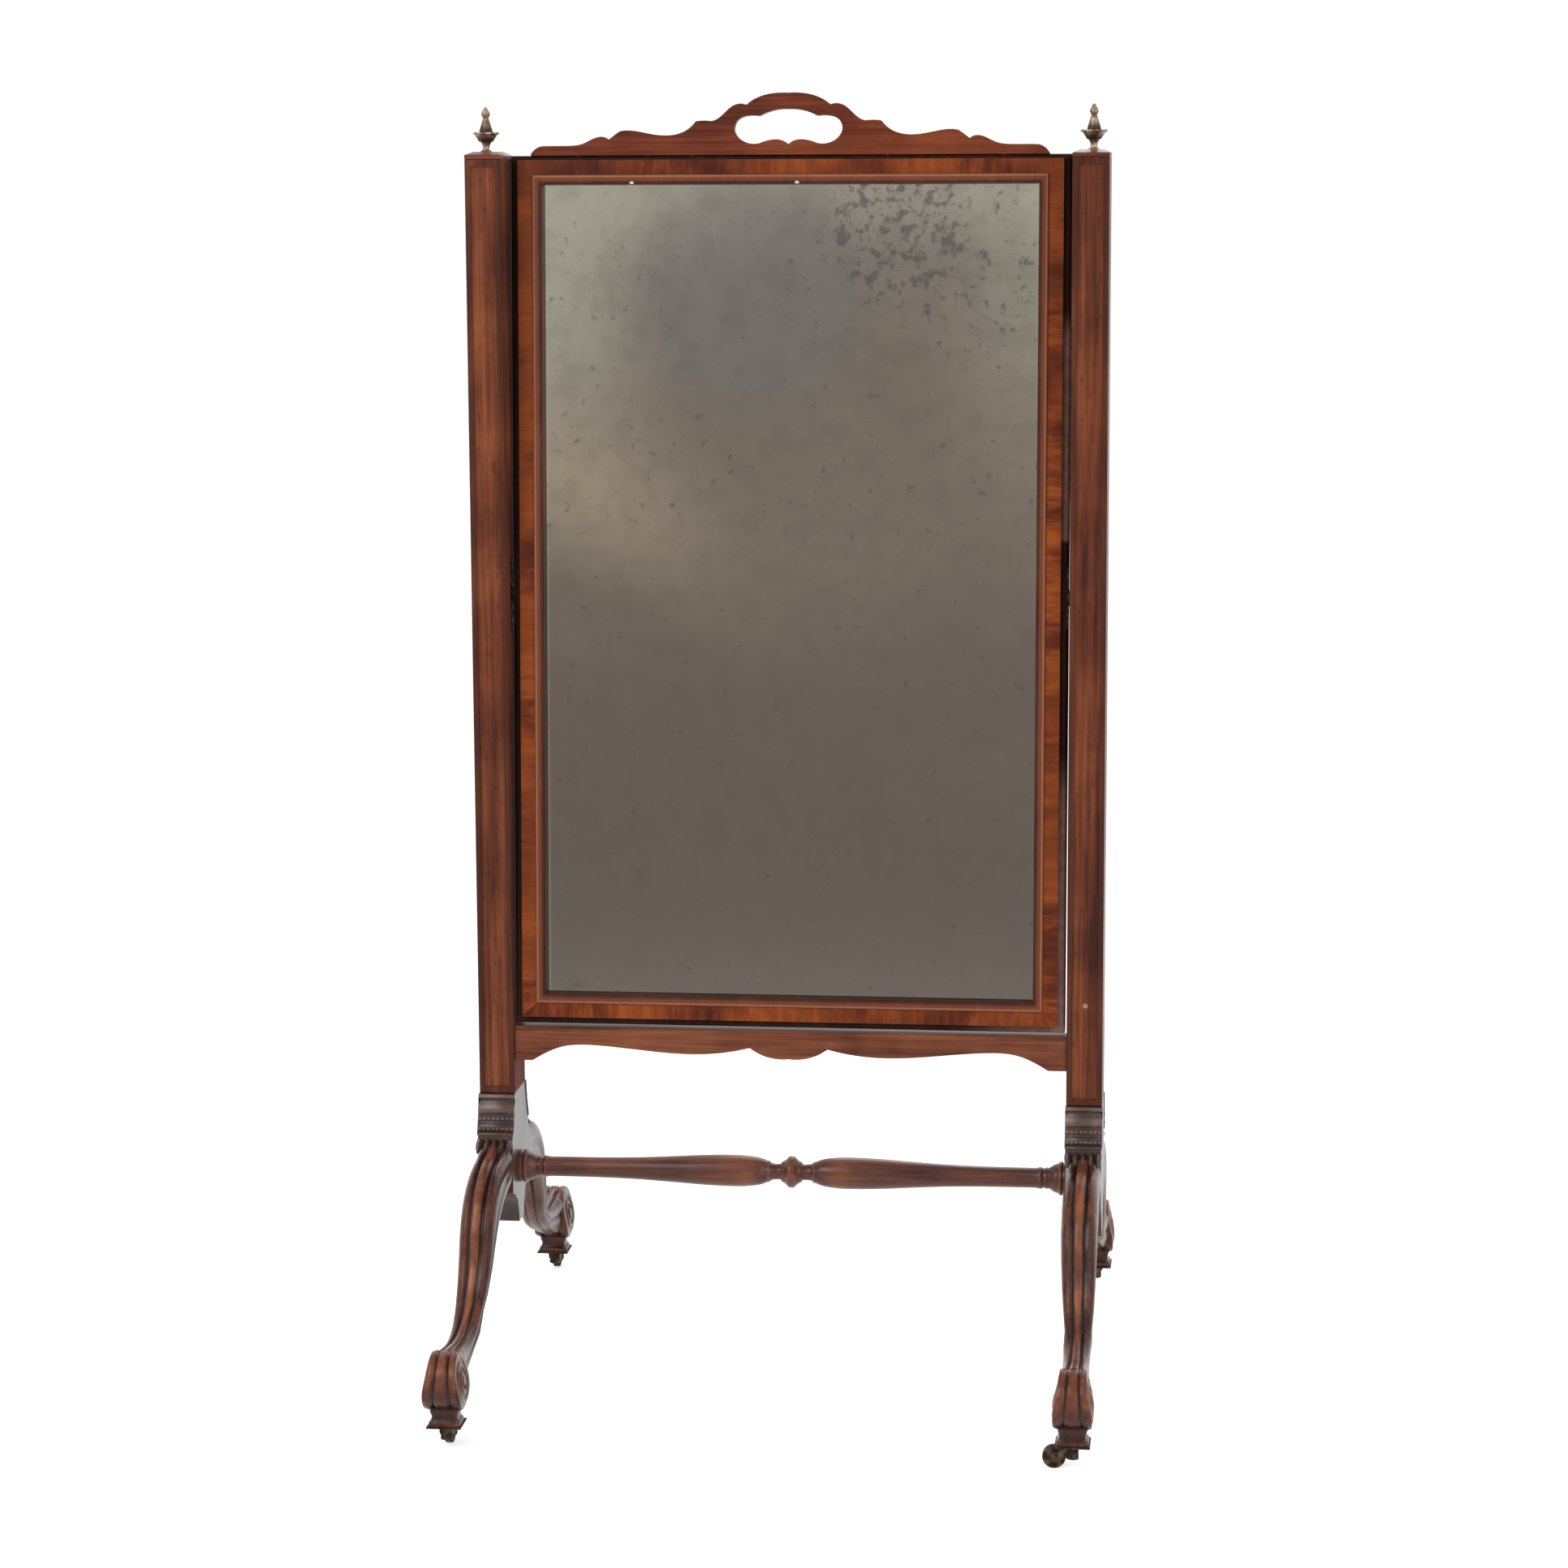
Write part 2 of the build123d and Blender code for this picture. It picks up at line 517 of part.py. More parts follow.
def stile(side):
    """One upright of the tilting frame."""
    inner, outer = side * OPENING_HALF_WIDTH, side * MEMBER_OUTER_X
    body = block(inner, outer, MEMBER_FRONT, MEMBER_BACK, MEMBER_BOTTOM, MEMBER_TOP)
    body -= rebate_blank()
    for _, end in ENDS:
        body -= frame_tenon(side, end)
    shank_radius, shank_length = PIVOT_SHANK
    body -= rod(shank_radius, (side * MEMBER_OUTER_X, 0, 0), (-side, 0, 0), shank_length)
    for fixing in [*pivot_screws(side), *back_screws()]:
        body -= fixing
    return leaned(body)


def rail(end):
    """The top or bottom member of the tilting frame."""
    z0, z1 = (OPENING_TOP, MEMBER_TOP) if end > 0 else (MEMBER_BOTTOM, OPENING_BOTTOM)
    body = block(-OPENING_HALF_WIDTH, OPENING_HALF_WIDTH, MEMBER_FRONT, MEMBER_BACK, z0, z1)
    for _, side in SIDES:
        body += frame_tenon(side, end)
    body -= rebate_blank()
    if end > 0:
        for place in DOWEL_PLACES:
            body -= dowel(place)
    for fixing in back_screws():
        body -= fixing
    return leaned(body)


def mitred_strip(start, width, rise, rounding, turn):
    """One side of a ring round the opening, from a distance outside it, cut to a mitre at both ends."""
    along = OPENING_HALF_WIDTH if turn in (0, 180) else (OPENING_TOP - OPENING_BOTTOM) / 2
    out = (OPENING_TOP - OPENING_BOTTOM) / 2 if turn in (0, 180) else OPENING_HALF_WIDTH
    inner, outer = start, start + width
    corners = ((-along - inner, out + inner), (along + inner, out + inner), (along + outer, out + outer),
               (-along - outer, out + outer))
    face = Plane.XZ * make_face(Polyline(*corners, close=True))
    strip = Pos(0, MEMBER_FRONT, 0) * extrude(face, rise)
    if rounding > 0:
        front = strip.faces().sort_by(Axis.Y)[0]
        long_edges = front.edges().sort_by(Axis.Z)
        strip = fillet([long_edges[0], long_edges[-1]], rounding)
    centre = (OPENING_TOP + OPENING_BOTTOM) / 2
    return leaned(Pos(0, 0, centre) * (Rot(0, turn, 0) * strip))


def banding(turn):
    """Crossbanded veneer on one side of the frame."""
    return mitred_strip(MOULDING_WIDTH, BANDING[0], BANDING[1], 0.0, turn)


def glass_moulding():
    """The rounded moulding round the glass, four mitred lengths."""
    return Compound(children=[mitred_strip(0.0, MOULDING_WIDTH, MOULDING_RISE, MOULDING_ROUND, turn)
                              for turn in (0, 90, 180, 270)])


def lipping():
    """The lipping round the outside of the carcase, set back from its face, with a rounded front corner."""
    wide, high = FRAME_HALF_WIDTH, FRAME_HALF_HEIGHT
    front = LIP_FRONT
    top = block(-wide, wide, front, MEMBER_BACK, MEMBER_TOP, high)
    bottom = block(-wide, wide, front, MEMBER_BACK, -high, MEMBER_BOTTOM)
    strips = [round_front(top, Axis.X, 1), round_front(bottom, Axis.X, -1)]
    for _, side in SIDES:
        upright = block(side * MEMBER_OUTER_X, side * wide, front, MEMBER_BACK, MEMBER_BOTTOM, MEMBER_TOP)
        upright = round_front(upright, Axis.Z, side)
        upright -= pivot_plate_blank(side)
        for fixing in pivot_screws(side):
            upright -= fixing
        upright -= rod(PIVOT_SHANK[0], (side * wide, 0, 0), (-side, 0, 0), PIVOT_SHANK[1])
        strips.append(upright)
    for place in DOWEL_PLACES:
        strips[0] -= dowel(place)
    return Compound(children=[leaned(strip) for strip in strips])


def round_front(strip, along, way):
    """Round the outer front corner of a length of lipping."""
    across = Axis.Z if along == Axis.X else Axis.X
    edges = strip.edges().filter_by(along).group_by(Axis.Y)[0].sort_by(across)
    edge = edges[-1] if way > 0 else edges[0]
    return fillet(edge, LIP_ROUND)


def mirror_plate():
    """The silvered glass."""
    wide = OPENING_HALF_WIDTH + GLASS_LAP
    low, high = OPENING_BOTTOM - GLASS_LAP, OPENING_TOP + GLASS_LAP
    return leaned(block(-wide, wide, GLASS_FRONT, GLASS_BACK, low, high))


def glazing_blocks():
    """Small blocks glued into the rebate behind the glass."""
    long, wide = GLAZING_BLOCK
    centre = (OPENING_TOP + OPENING_BOTTOM) / 2
    half_height = (OPENING_TOP - OPENING_BOTTOM) / 2
    pieces = []
    for _, side in SIDES:
        edge = side * (OPENING_HALF_WIDTH + REBATE_WIDTH)
        for share in (-0.75, -0.25, 0.25, 0.75):
            low = centre + share * half_height - long / 2
            pieces.append(block(edge, edge - side * wide, GLASS_BACK, MEMBER_BACK, low, low + long))
        for edge, way in ((OPENING_TOP + REBATE_WIDTH, -1), (OPENING_BOTTOM - REBATE_WIDTH, 1)):
            low = side * OPENING_HALF_WIDTH / 2 - long / 2
            pieces.append(block(low, low + long, GLASS_BACK, MEMBER_BACK, edge, edge + way * wide))
    return Compound(children=[leaned(piece) for piece in pieces])


def back_screws():
    """The screws round the edge of the backboards, in the frame's own drawing."""
    inset = BACK_LAP / 2
    wide = OPENING_HALF_WIDTH + REBATE_WIDTH + inset
    top, bottom = OPENING_TOP + REBATE_WIDTH + inset, OPENING_BOTTOM - REBATE_WIDTH - inset
    places = [(x, z) for z in (top, bottom) for x in (-0.6 * wide, 0, 0.6 * wide)]
    heights = [bottom + (top - bottom) * share for share in (0.12, 0.38, 0.62, 0.88)]
    places += [(x, z) for x in (-wide, wide) for z in heights]
    return [screw(BACK_SCREW, (x, MEMBER_BACK + BACK_THICK, z), (0, -1, 0)) for x, z in places]


def backboard(end):
    """The upper or lower backboard."""
    wide = OPENING_HALF_WIDTH + REBATE_WIDTH + BACK_LAP
    centre = (OPENING_TOP + OPENING_BOTTOM) / 2
    far = OPENING_TOP + REBATE_WIDTH + BACK_LAP if end > 0 else OPENING_BOTTOM - REBATE_WIDTH - BACK_LAP
    board = block(-wide, wide, MEMBER_BACK, MEMBER_BACK + BACK_THICK, centre, far)
    outer = board.faces().sort_by(Axis.Y)[-1].edges()
    board = chamfer(outer, 2.0)
    for fixing in back_screws():
        board -= fixing
    return leaned(board)


def back_batten():
    """The batten over the joint of the two backboards."""
    high, thick = BACK_BATTEN
    wide = OPENING_HALF_WIDTH + REBATE_WIDTH + BACK_LAP
    centre = (OPENING_TOP + OPENING_BOTTOM) / 2
    back = MEMBER_BACK + BACK_THICK
    strip = block(-wide, wide, back, back + thick, centre - high / 2, centre + high / 2)
    return leaned(chamfer(strip.faces().sort_by(Axis.Y)[-1].edges(), 1.5))


def dowel(place):
    """A dowel between the cresting and the top rail, in the frame's own drawing."""
    radius, sink, rise = DOWEL
    place *= FRAME_HALF_WIDTH / CREST_DRAWN_HALF
    return rod(radius, (place, CREST_FRONT + CREST_THICK / 2, FRAME_HALF_HEIGHT - sink), (0, 0, 1), sink + rise)


def cresting():
    """The shaped and pierced cresting, with its hand-hold."""
    ratio = FRAME_HALF_WIDTH / CREST_DRAWN_HALF
    upper = smooth_runs(mirrored(stretched(CREST_RUNS, ratio)))
    outline = upper[0]
    for run in upper[1:]:
        outline += run
    end_x = CREST_RUNS[-1][-1][0] * ratio
    outline += Line((-end_x, 0), (end_x, 0))
    board = make_face(outline)
    top_half = smooth_runs(mirrored(stretched(HOLE_RUNS, ratio)))
    ring = top_half[0]
    for run in top_half[1:]:
        ring += run
    board -= make_face(ring)
    solid = extrude(Plane.XZ * board, CREST_THICK)
    solid = Pos(CREST_SHIFT, CREST_FRONT + CREST_THICK, FRAME_HALF_HEIGHT) * solid
    for place in DOWEL_PLACES:
        solid -= dowel(place)
    return leaned(solid)


def pivot_plate_blank(side):
    """The bed of a pivot plate in the frame's side, in the frame's own drawing."""
    deep, high, thick = PIVOT_PLATE
    outer, inner = side * FRAME_HALF_WIDTH, side * (FRAME_HALF_WIDTH - thick)
    return block(inner, outer, -deep / 2, deep / 2, -high / 2, high / 2)


def pivot_screws(side):
    """The screws of a pivot plate, in the frame's own drawing."""
    heights = (-PIVOT_SCREW_OUT, PIVOT_SCREW_OUT)
    return [screw(PLATE_SCREW, (side * FRAME_HALF_WIDTH, 0, z), (-side, 0, 0)) for z in heights]


def pivot_plate(side):
    """A plate let into the frame's side, with the pin that it swings on."""
    plate = pivot_plate_blank(side)
    for fixing in pivot_screws(side):
        plate -= fixing
    plate += rod(PIVOT_RADIUS, (side * FRAME_HALF_WIDTH, 0, 0), (side, 0, 0), SIDE_GAP + PIVOT_REACH)
    shank_radius, shank_length = PIVOT_SHANK
    plate += rod(shank_radius, (side * FRAME_HALF_WIDTH, 0, 0), (-side, 0, 0), shank_length)
    return leaned(plate)


def pivot_washer(side):
    """The collar on a pivot pin, which keeps the frame off the post and rubs on its plate."""
    thick = SIDE_GAP - SIDE_PLAY
    ring = rod(WASHER_RADIUS, (side * FRAME_HALF_WIDTH, 0, 0), (side, 0, 0), thick)
    ring -= rod(PIVOT_RADIUS + RUNNING_FIT, (side * FRAME_HALF_WIDTH, 0, 0), (side, 0, 0), thick)
    return leaned(ring)


def socket_plate_blank(side):
    """The bed of a socket plate in the post."""
    deep, high, thick = SOCKET_PLATE
    return block(side * POST_INNER, side * (POST_INNER + thick), -deep / 2, deep / 2,
                 PIVOT_HEIGHT - high / 2, PIVOT_HEIGHT + high / 2)


def socket_screws(side):
    """The screws of a socket plate."""
    heights = (PIVOT_HEIGHT - SOCKET_SCREW_OUT, PIVOT_HEIGHT + SOCKET_SCREW_OUT)
    return [screw(PLATE_SCREW, (side * POST_INNER, 0, z), (side, 0, 0)) for z in heights]


def socket_plate(side):
    """The plate in a post that carries a pivot pin."""
    plate = socket_plate_blank(side)
    start = (side * POST_INNER, 0, PIVOT_HEIGHT)
    plate -= rod(PIVOT_RADIUS + RUNNING_FIT, start, (side, 0, 0), SOCKET_PLATE[2])
    for fixing in socket_screws(side):
        plate -= fixing
    return plate


def foot_place(side, end):
    """Where a castor turns."""
    return side * FOOT_MIDDLE, end * FOOT_OUT


def castor_plate(side, end):
    """The plate under a toe."""
    x, y = foot_place(side, end)
    wide, thick = CASTOR_PLATE
    plate = Pos(x, y, CASTOR_HEIGHT - thick / 2) * Box(wide, wide, thick)
    plate -= rod(PIN_RADIUS + RUNNING_FIT, (x, y, CASTOR_HEIGHT - thick), (0, 0, 1), thick)
    for fixing in castor_screws(side, end):
        plate -= fixing
    return plate


def castor_screws(side, end):
    """Four screws in the corners of a castor plate."""
    x, y = foot_place(side, end)
    out = CASTOR_SCREW_OUT
    base = CASTOR_HEIGHT - CASTOR_PLATE[1]
    return [screw(CASTOR_SCREW, (x + i * out, y + j * out, base), (0, 0, 1)) for i in (-1, 1) for j in (-1, 1)]


def castor_horn(side, end, name):
    """The turning part of a castor: pin, boss and two cheeks, drawn trailing along X."""
    top = CASTOR_HEIGHT - CASTOR_PLATE[1] - SIDE_PLAY / 2
    boss = rod(HORN_BOSS, (0, 0, HORN_BOTTOM), (0, 0, 1), top - HORN_BOTTOM)
    pin = rod(PIN_RADIUS, (0, 0, top), (0, 0, 1), CASTOR_HEIGHT + PIN_RISE - top)
    inside = WHEEL_WIDTH / 2 + SIDE_PLAY
    body = boss + pin
    for way in (-1, 1):
        start = inside if way > 0 else -inside - CHEEK
        eye = Pos(WHEEL_TRAIL, WHEEL_RADIUS) * Circle(CHEEK_EYE)
        root = Pos(0, top - CHEEK_ROOT) * Circle(CHEEK_ROOT)
        cheek = Plane.XZ * make_hull((eye + root).edges())
        body += Pos(0, start + CHEEK, 0) * extrude(cheek, CHEEK)
    body -= rod(AXLE_RADIUS, (WHEEL_TRAIL, -20, WHEEL_RADIUS), (0, 1, 0), 40)
    return castor_placed(body, side, end, name)


def castor_wheel(side, end, name):
    """A brass wheel with a shallow groove turned in each face."""
    wheel = rod(WHEEL_RADIUS, (WHEEL_TRAIL, -WHEEL_WIDTH / 2, WHEEL_RADIUS), (0, 1, 0), WHEEL_WIDTH)
    wheel = fillet(wheel.edges().filter_by(GeomType.CIRCLE), WHEEL_EDGE)
    depth, inner, outer = WHEEL_GROOVE
    for start, way in ((-WHEEL_WIDTH / 2, 1), (WHEEL_WIDTH / 2, -1)):
        ring = rod(outer, (WHEEL_TRAIL, start, WHEEL_RADIUS), (0, way, 0), depth)
        ring -= rod(inner, (WHEEL_TRAIL, start, WHEEL_RADIUS), (0, way, 0), depth)
        wheel -= ring
    wheel -= rod(AXLE_RADIUS + RUNNING_FIT, (WHEEL_TRAIL, -20, WHEEL_RADIUS), (0, 1, 0), 40)
    return castor_placed(wheel, side, end, name)


def castor_axle(side, end, name):
    """The rivet that a wheel turns on."""
    out = WHEEL_WIDTH / 2 + SIDE_PLAY + CHEEK
    rivet = rod(AXLE_RADIUS, (WHEEL_TRAIL, -out, WHEEL_RADIUS), (0, 1, 0), 2 * out)
    for start, way in ((-out, -1), (out, 1)):
        rivet += rod(RIVET_HEAD[0], (WHEEL_TRAIL, start, WHEEL_RADIUS), (0, way, 0), RIVET_HEAD[1])
    return castor_placed(rivet, side, end, name)


def castor_placed(piece, side, end, name):
    """Turn a castor piece to the way it trails and set it under its foot."""
    x, y = foot_place(side, end)
    return Pos(x, y, 0) * (Rot(0, 0, TRAIL[name]) * piece)


def stand_nodes():
    """Everything that stands still."""
    nodes = {"apron": apron(), "stretcher": stretcher()}
    for word, side in SIDES:
        nodes[f"post_{word}"] = post(side)
        nodes[f"post_cap_{word}"] = post_cap(side)
        nodes[f"finial_{word}"] = finial(side)
        nodes[f"leg_block_{word}"] = leg_block(side)
        nodes[f"block_bands_{word}"] = block_bands(side)
        nodes[f"pivot_socket_{word}"] = socket_plate(side)
        for place, end in ENDS:
            nodes[f"leg_{place}_{word}"] = leg(side, end)
            nodes[f"castor_plate_{place}_{word}"] = castor_plate(side, end)
    nodes["pivot_socket_screws"] = Compound(children=[s for _, side in SIDES for s in socket_screws(side)])
    nodes["castor_screws"] = Compound(children=[
        s for _, side in SIDES for _, end in ENDS for s in castor_screws(side, end)])
    return nodes


def mirror_nodes():
    """Everything that tilts."""
    nodes = {
        "frame_rail_top": rail(1), "frame_rail_bottom": rail(-1), "glass_moulding": glass_moulding(),
        "lipping": lipping(), "mirror_plate": mirror_plate(), "glazing_blocks": glazing_blocks(),
        "backboard_upper": backboard(1), "backboard_lower": backboard(-1), "back_batten": back_batten(),
        "cresting": cresting(),
    }
    for word, turn in (("top", 0), ("right", 90), ("bottom", 180), ("left", 270)):
        nodes[f"crossbanding_{word}"] = banding(turn)
    for word, side in SIDES:
        nodes[f"frame_stile_{word}"] = stile(side)
        nodes[f"pivot_plate_{word}"] = pivot_plate(side)
        nodes[f"pivot_washer_{word}"] = pivot_washer(side)
    nodes["cresting_dowels"] = Compound(children=[leaned(dowel(place)) for place in DOWEL_PLACES])
    nodes["backboard_screws"] = Compound(children=[leaned(s) for s in back_screws()])
    nodes["pivot_plate_screws"] = Compound(children=[
        leaned(fixing) for _, side in SIDES for fixing in pivot_screws(side)])
    return nodes


def castor_nodes():
    """The four turning castors and their wheels."""
    nodes = {}
    for word, side in SIDES:
        for place, end in ENDS:
            name = f"{place}_{word}"
            nodes[f"castor_horn_{name}"] = castor_horn(side, end, name)
            nodes[f"castor_wheel_{name}"] = castor_wheel(side, end, name)
            nodes[f"castor_axle_{name}"] = castor_axle(side, end, name)
    return nodes


def main():
    """Build every piece and write one file for each."""
    os.makedirs("parts", exist_ok=True)
    nodes = {**stand_nodes(), **mirror_nodes(), **castor_nodes()}
    for name, piece in nodes.items():
        export_step(piece, f"parts/{name}.step")
    print(len(nodes), "pieces written")


main()
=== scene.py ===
"""The looks of a cheval mirror: woods, veneers, foxed glass, aged brass, and the carved and turned pieces."""

import logging
import math
from collections.abc import Callable, Sequence
from dataclasses import dataclass, field
from enum import Enum
from typing import Any, Union

import bmesh
import bpy
import numpy as np
from mathutils import Matrix, Vector

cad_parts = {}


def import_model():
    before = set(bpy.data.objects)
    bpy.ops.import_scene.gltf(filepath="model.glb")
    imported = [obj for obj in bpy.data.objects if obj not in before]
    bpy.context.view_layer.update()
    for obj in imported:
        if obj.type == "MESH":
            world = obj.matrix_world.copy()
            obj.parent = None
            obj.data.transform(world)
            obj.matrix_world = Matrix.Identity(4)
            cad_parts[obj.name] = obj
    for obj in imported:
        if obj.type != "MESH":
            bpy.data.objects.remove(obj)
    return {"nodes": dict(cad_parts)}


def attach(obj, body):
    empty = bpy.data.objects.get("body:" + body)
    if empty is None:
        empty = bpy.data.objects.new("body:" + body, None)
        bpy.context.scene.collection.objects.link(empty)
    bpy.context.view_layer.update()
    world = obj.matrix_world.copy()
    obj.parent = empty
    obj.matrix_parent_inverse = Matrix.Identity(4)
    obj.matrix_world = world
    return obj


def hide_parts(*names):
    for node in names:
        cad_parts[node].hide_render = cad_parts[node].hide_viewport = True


LOG = logging.getLogger("cheval_mirror")
Colour = tuple[float, float, float, float]
Point = tuple[float, float]
Place = tuple[float, float, float]
Bend = Callable[[np.ndarray, np.ndarray], np.ndarray]
Operand = Union[float, "Socket"]
MM = 0.001


def paint(red: int, green: int, blue: int) -> Colour:
    """Turn a colour as it looks on a screen into the light values that a shader takes.

    Args:
        red: from 0 to 255.
        green: from 0 to 255.
        blue: from 0 to 255.

    Returns:
        The colour as light values, with a full alpha.
    """
    shares = [value / 255.0 for value in (red, green, blue)]
    light = [s / 12.92 if s <= 0.04045 else ((s + 0.055) / 1.055) ** 2.4 for s in shares]
    return light[0], light[1], light[2], 1.0


def _sum(operation: str, swapped: bool = False) -> Callable[["Socket", Operand], "Socket"]:
    """Make the method for one kind of sum.

    Args:
        operation: the Math node's operation.
        swapped: whether the other operand comes first.

    Returns:
        The method, which adds one Math node.
    """
    def method(self: "Socket", other: Operand) -> "Socket":
        """Add the node."""
        first, second = (other, self) if swapped else (self, other)
        return self.graph.node("ShaderNodeMath", {"operation": operation}, {0: first, 1: second})

    return method


class Socket:
    """A socket of a node, on which sums are written as plain expressions."""

    def __init__(self, graph: "Graph", socket: bpy.types.NodeSocket) -> None:
        """Keep the socket and the graph that it belongs to."""
        self.graph = graph
        self.socket = socket

    __add__, __radd__ = _sum("ADD"), _sum("ADD", swapped=True)
    __sub__, __rsub__ = _sum("SUBTRACT"), _sum("SUBTRACT", swapped=True)
    __mul__, __rmul__ = _sum("MULTIPLY"), _sum("MULTIPLY", swapped=True)
    __truediv__, __rtruediv__ = _sum("DIVIDE"), _sum("DIVIDE", swapped=True)
    over, under, most = _sum("GREATER_THAN"), _sum("LESS_THAN"), _sum("MAXIMUM")

    def floor(self) -> "Socket":
        """The whole number below the value."""
        return self.graph.node("ShaderNodeMath", {"operation": "FLOOR"}, {0: self})

    def size(self) -> "Socket":
        """The value without its sign."""
        return self.graph.node("ShaderNodeMath", {"operation": "ABSOLUTE"}, {0: self})

    def eased(self, low: float, high: float) -> "Socket":
        """Rise smoothly from 0 at low to 1 at high.

        Args:
            low: the value that gives 0.
            high: the value that gives 1.

        Returns:
            The eased value.
        """
        return self.graph.node("ShaderNodeMapRange", {"interpolation_type": "SMOOTHSTEP", "clamp": True},
                               {0: self, 1: low, 2: high, 3: 0.0, 4: 1.0})


class Graph:
    """A node tree, of a material or of a geometry rule."""

    def __init__(self, tree: bpy.types.NodeTree) -> None:
        """Keep the tree that the nodes go into."""
        self.tree = tree

    def node(self, kind: str, settings: dict[str, Any] | None = None,
             inputs: dict[int | str, Any] | None = None, output: int | str = 0) -> Socket:
        """Add a node.

        Args:
            kind: the node's type.
            settings: its settings, set first; "stops" holds a ramp's places and colours.
            inputs: a value or a link for each socket, by name or number.
            output: the output wanted.

        Returns:
            The wanted output.
        """
        made = self.tree.nodes.new(kind)
        for key, value in (settings or {}).items():
            if key == "stops":
                self._set_stops(made.color_ramp, value)
            else:
                setattr(made, key, value)
        for key, value in (inputs or {}).items():
            if isinstance(value, Socket):
                self.tree.links.new(value.socket, made.inputs[key])
            else:
                made.inputs[key].default_value = value
        return Socket(self, made.outputs[output])

    @staticmethod
    def _set_stops(ramp: bpy.types.ColorRamp, stops: Sequence[tuple[float, Colour]]) -> None:
        """Give a ramp its places and colours.

        Args:
            ramp: the ramp.
            stops: the places and their colours.
        """
        while len(ramp.elements) < len(stops):
            ramp.elements.new(0.5)
        for element, (place, colour) in zip(ramp.elements, stops):
            element.position = place
            element.color = colour


class Surface(Graph):
    """A material with one main shader."""

    def __init__(self, name: str) -> None:
        """Make the material and its shader.

        Args:
            name: the name of the material.
        """
        self.material = bpy.data.materials.new(name)
        self.material.use_nodes = True
        super().__init__(self.material.node_tree)
        self.tree.nodes.clear()
        self.shader = self.tree.nodes.new("ShaderNodeBsdfPrincipled")
        out = self.tree.nodes.new("ShaderNodeOutputMaterial")
        self.tree.links.new(self.shader.outputs[0], out.inputs["Surface"])

    def set(self, **values: Any) -> None:
        """Set or link sockets of the main shader; an underscore in a name stands for a space.

        Args:
            values: the value or socket of each.
        """
        for key, value in values.items():
            socket = self.shader.inputs[key.replace("_", " ")]
            if isinstance(value, Socket):
                self.tree.links.new(value.socket, socket)
            else:
                socket.default_value = value

    def place(self) -> Socket:
        """The place on the piece, in metres."""
        return self.node("ShaderNodeTexCoord", output="Object")

    def axis(self, place: Socket, name: str) -> Socket:
        """One of the X, Y and Z parts of a place."""
        return self.node("ShaderNodeSeparateXYZ", None, {0: place}, name)

    def mix(self, share: Operand, first: Any, second: Any, blend: str = "MIX") -> Socket:
        """Mix two colours.

        Args:
            share: how much of the second colour shows.
            first: the first colour.
            second: the second colour.
            blend: the way they are blended.

        Returns:
            The mixed colour.
        """
        return self.node("ShaderNodeMix", {"data_type": "RGBA", "blend_type": blend, "clamp_factor": True},
                         {0: share, 6: first, 7: second}, 2)

    def ramp(self, share: Socket, stops: Sequence[tuple[float, Colour]]) -> Socket:
        """Run through several colours."""
        return self.node("ShaderNodeValToRGB", {"stops": stops}, {0: share})

    def scaled(self, place: Socket, scale: Sequence[float],
               turn: Sequence[float] = (0.0, 0.0, 0.0)) -> Socket:
        """Stretch a place before a pattern reads it."""
        return self.node("ShaderNodeMapping", None, {"Vector": place, "Scale": scale, "Rotation": turn})

    def noise(self, place: Socket, scale: float, detail: float = 2.0, roughness: float = 0.5,
              distortion: float = 0.0) -> Socket:
        """A cloudy pattern from 0 to 1.

        Args:
            place: where it is read.
            scale: how fine it is, in clouds per metre.
            detail: how many finer layers it has.
            roughness: how strong those are.
            distortion: how far it is bent.

        Returns:
            The pattern's value.
        """
        return self.node("ShaderNodeTexNoise", None, {
            "Vector": place, "Scale": scale, "Detail": detail, "Roughness": roughness,
            "Distortion": distortion})

    def spot(self, place: Socket, centre: Sequence[float], radius: float) -> Socket:
        """A soft round spot at a place."""
        away = self.node("ShaderNodeVectorMath", {"operation": "DISTANCE"}, {0: place, 1: centre}, "Value")
        return 1.0 - away.eased(radius * 0.55, radius)

    def bump(self, height: Socket, distance: float, strength: float = 1.0) -> None:
        """Raise the surface by a height."""
        self.set(Normal=self.node("ShaderNodeBump", None, {
            "Height": height, "Distance": distance, "Strength": strength}, "Normal"))


class Grain(Enum):
    """The way that the grain of a wood runs."""

    ACROSS = 0
    DEEP = 1
    UP = 2

    def stretch(self, lines: float, run: float) -> tuple[float, float, float]:
        """Give the scale of a grain pattern.

        Args:
            lines: how fine it is across the grain, per metre.
            run: how fine it is along the grain, per metre.

        Returns:
            The scale on each axis.
        """
        scale = [lines, lines, lines]
        scale[self.value] = run
        return scale[0], scale[1], scale[2]


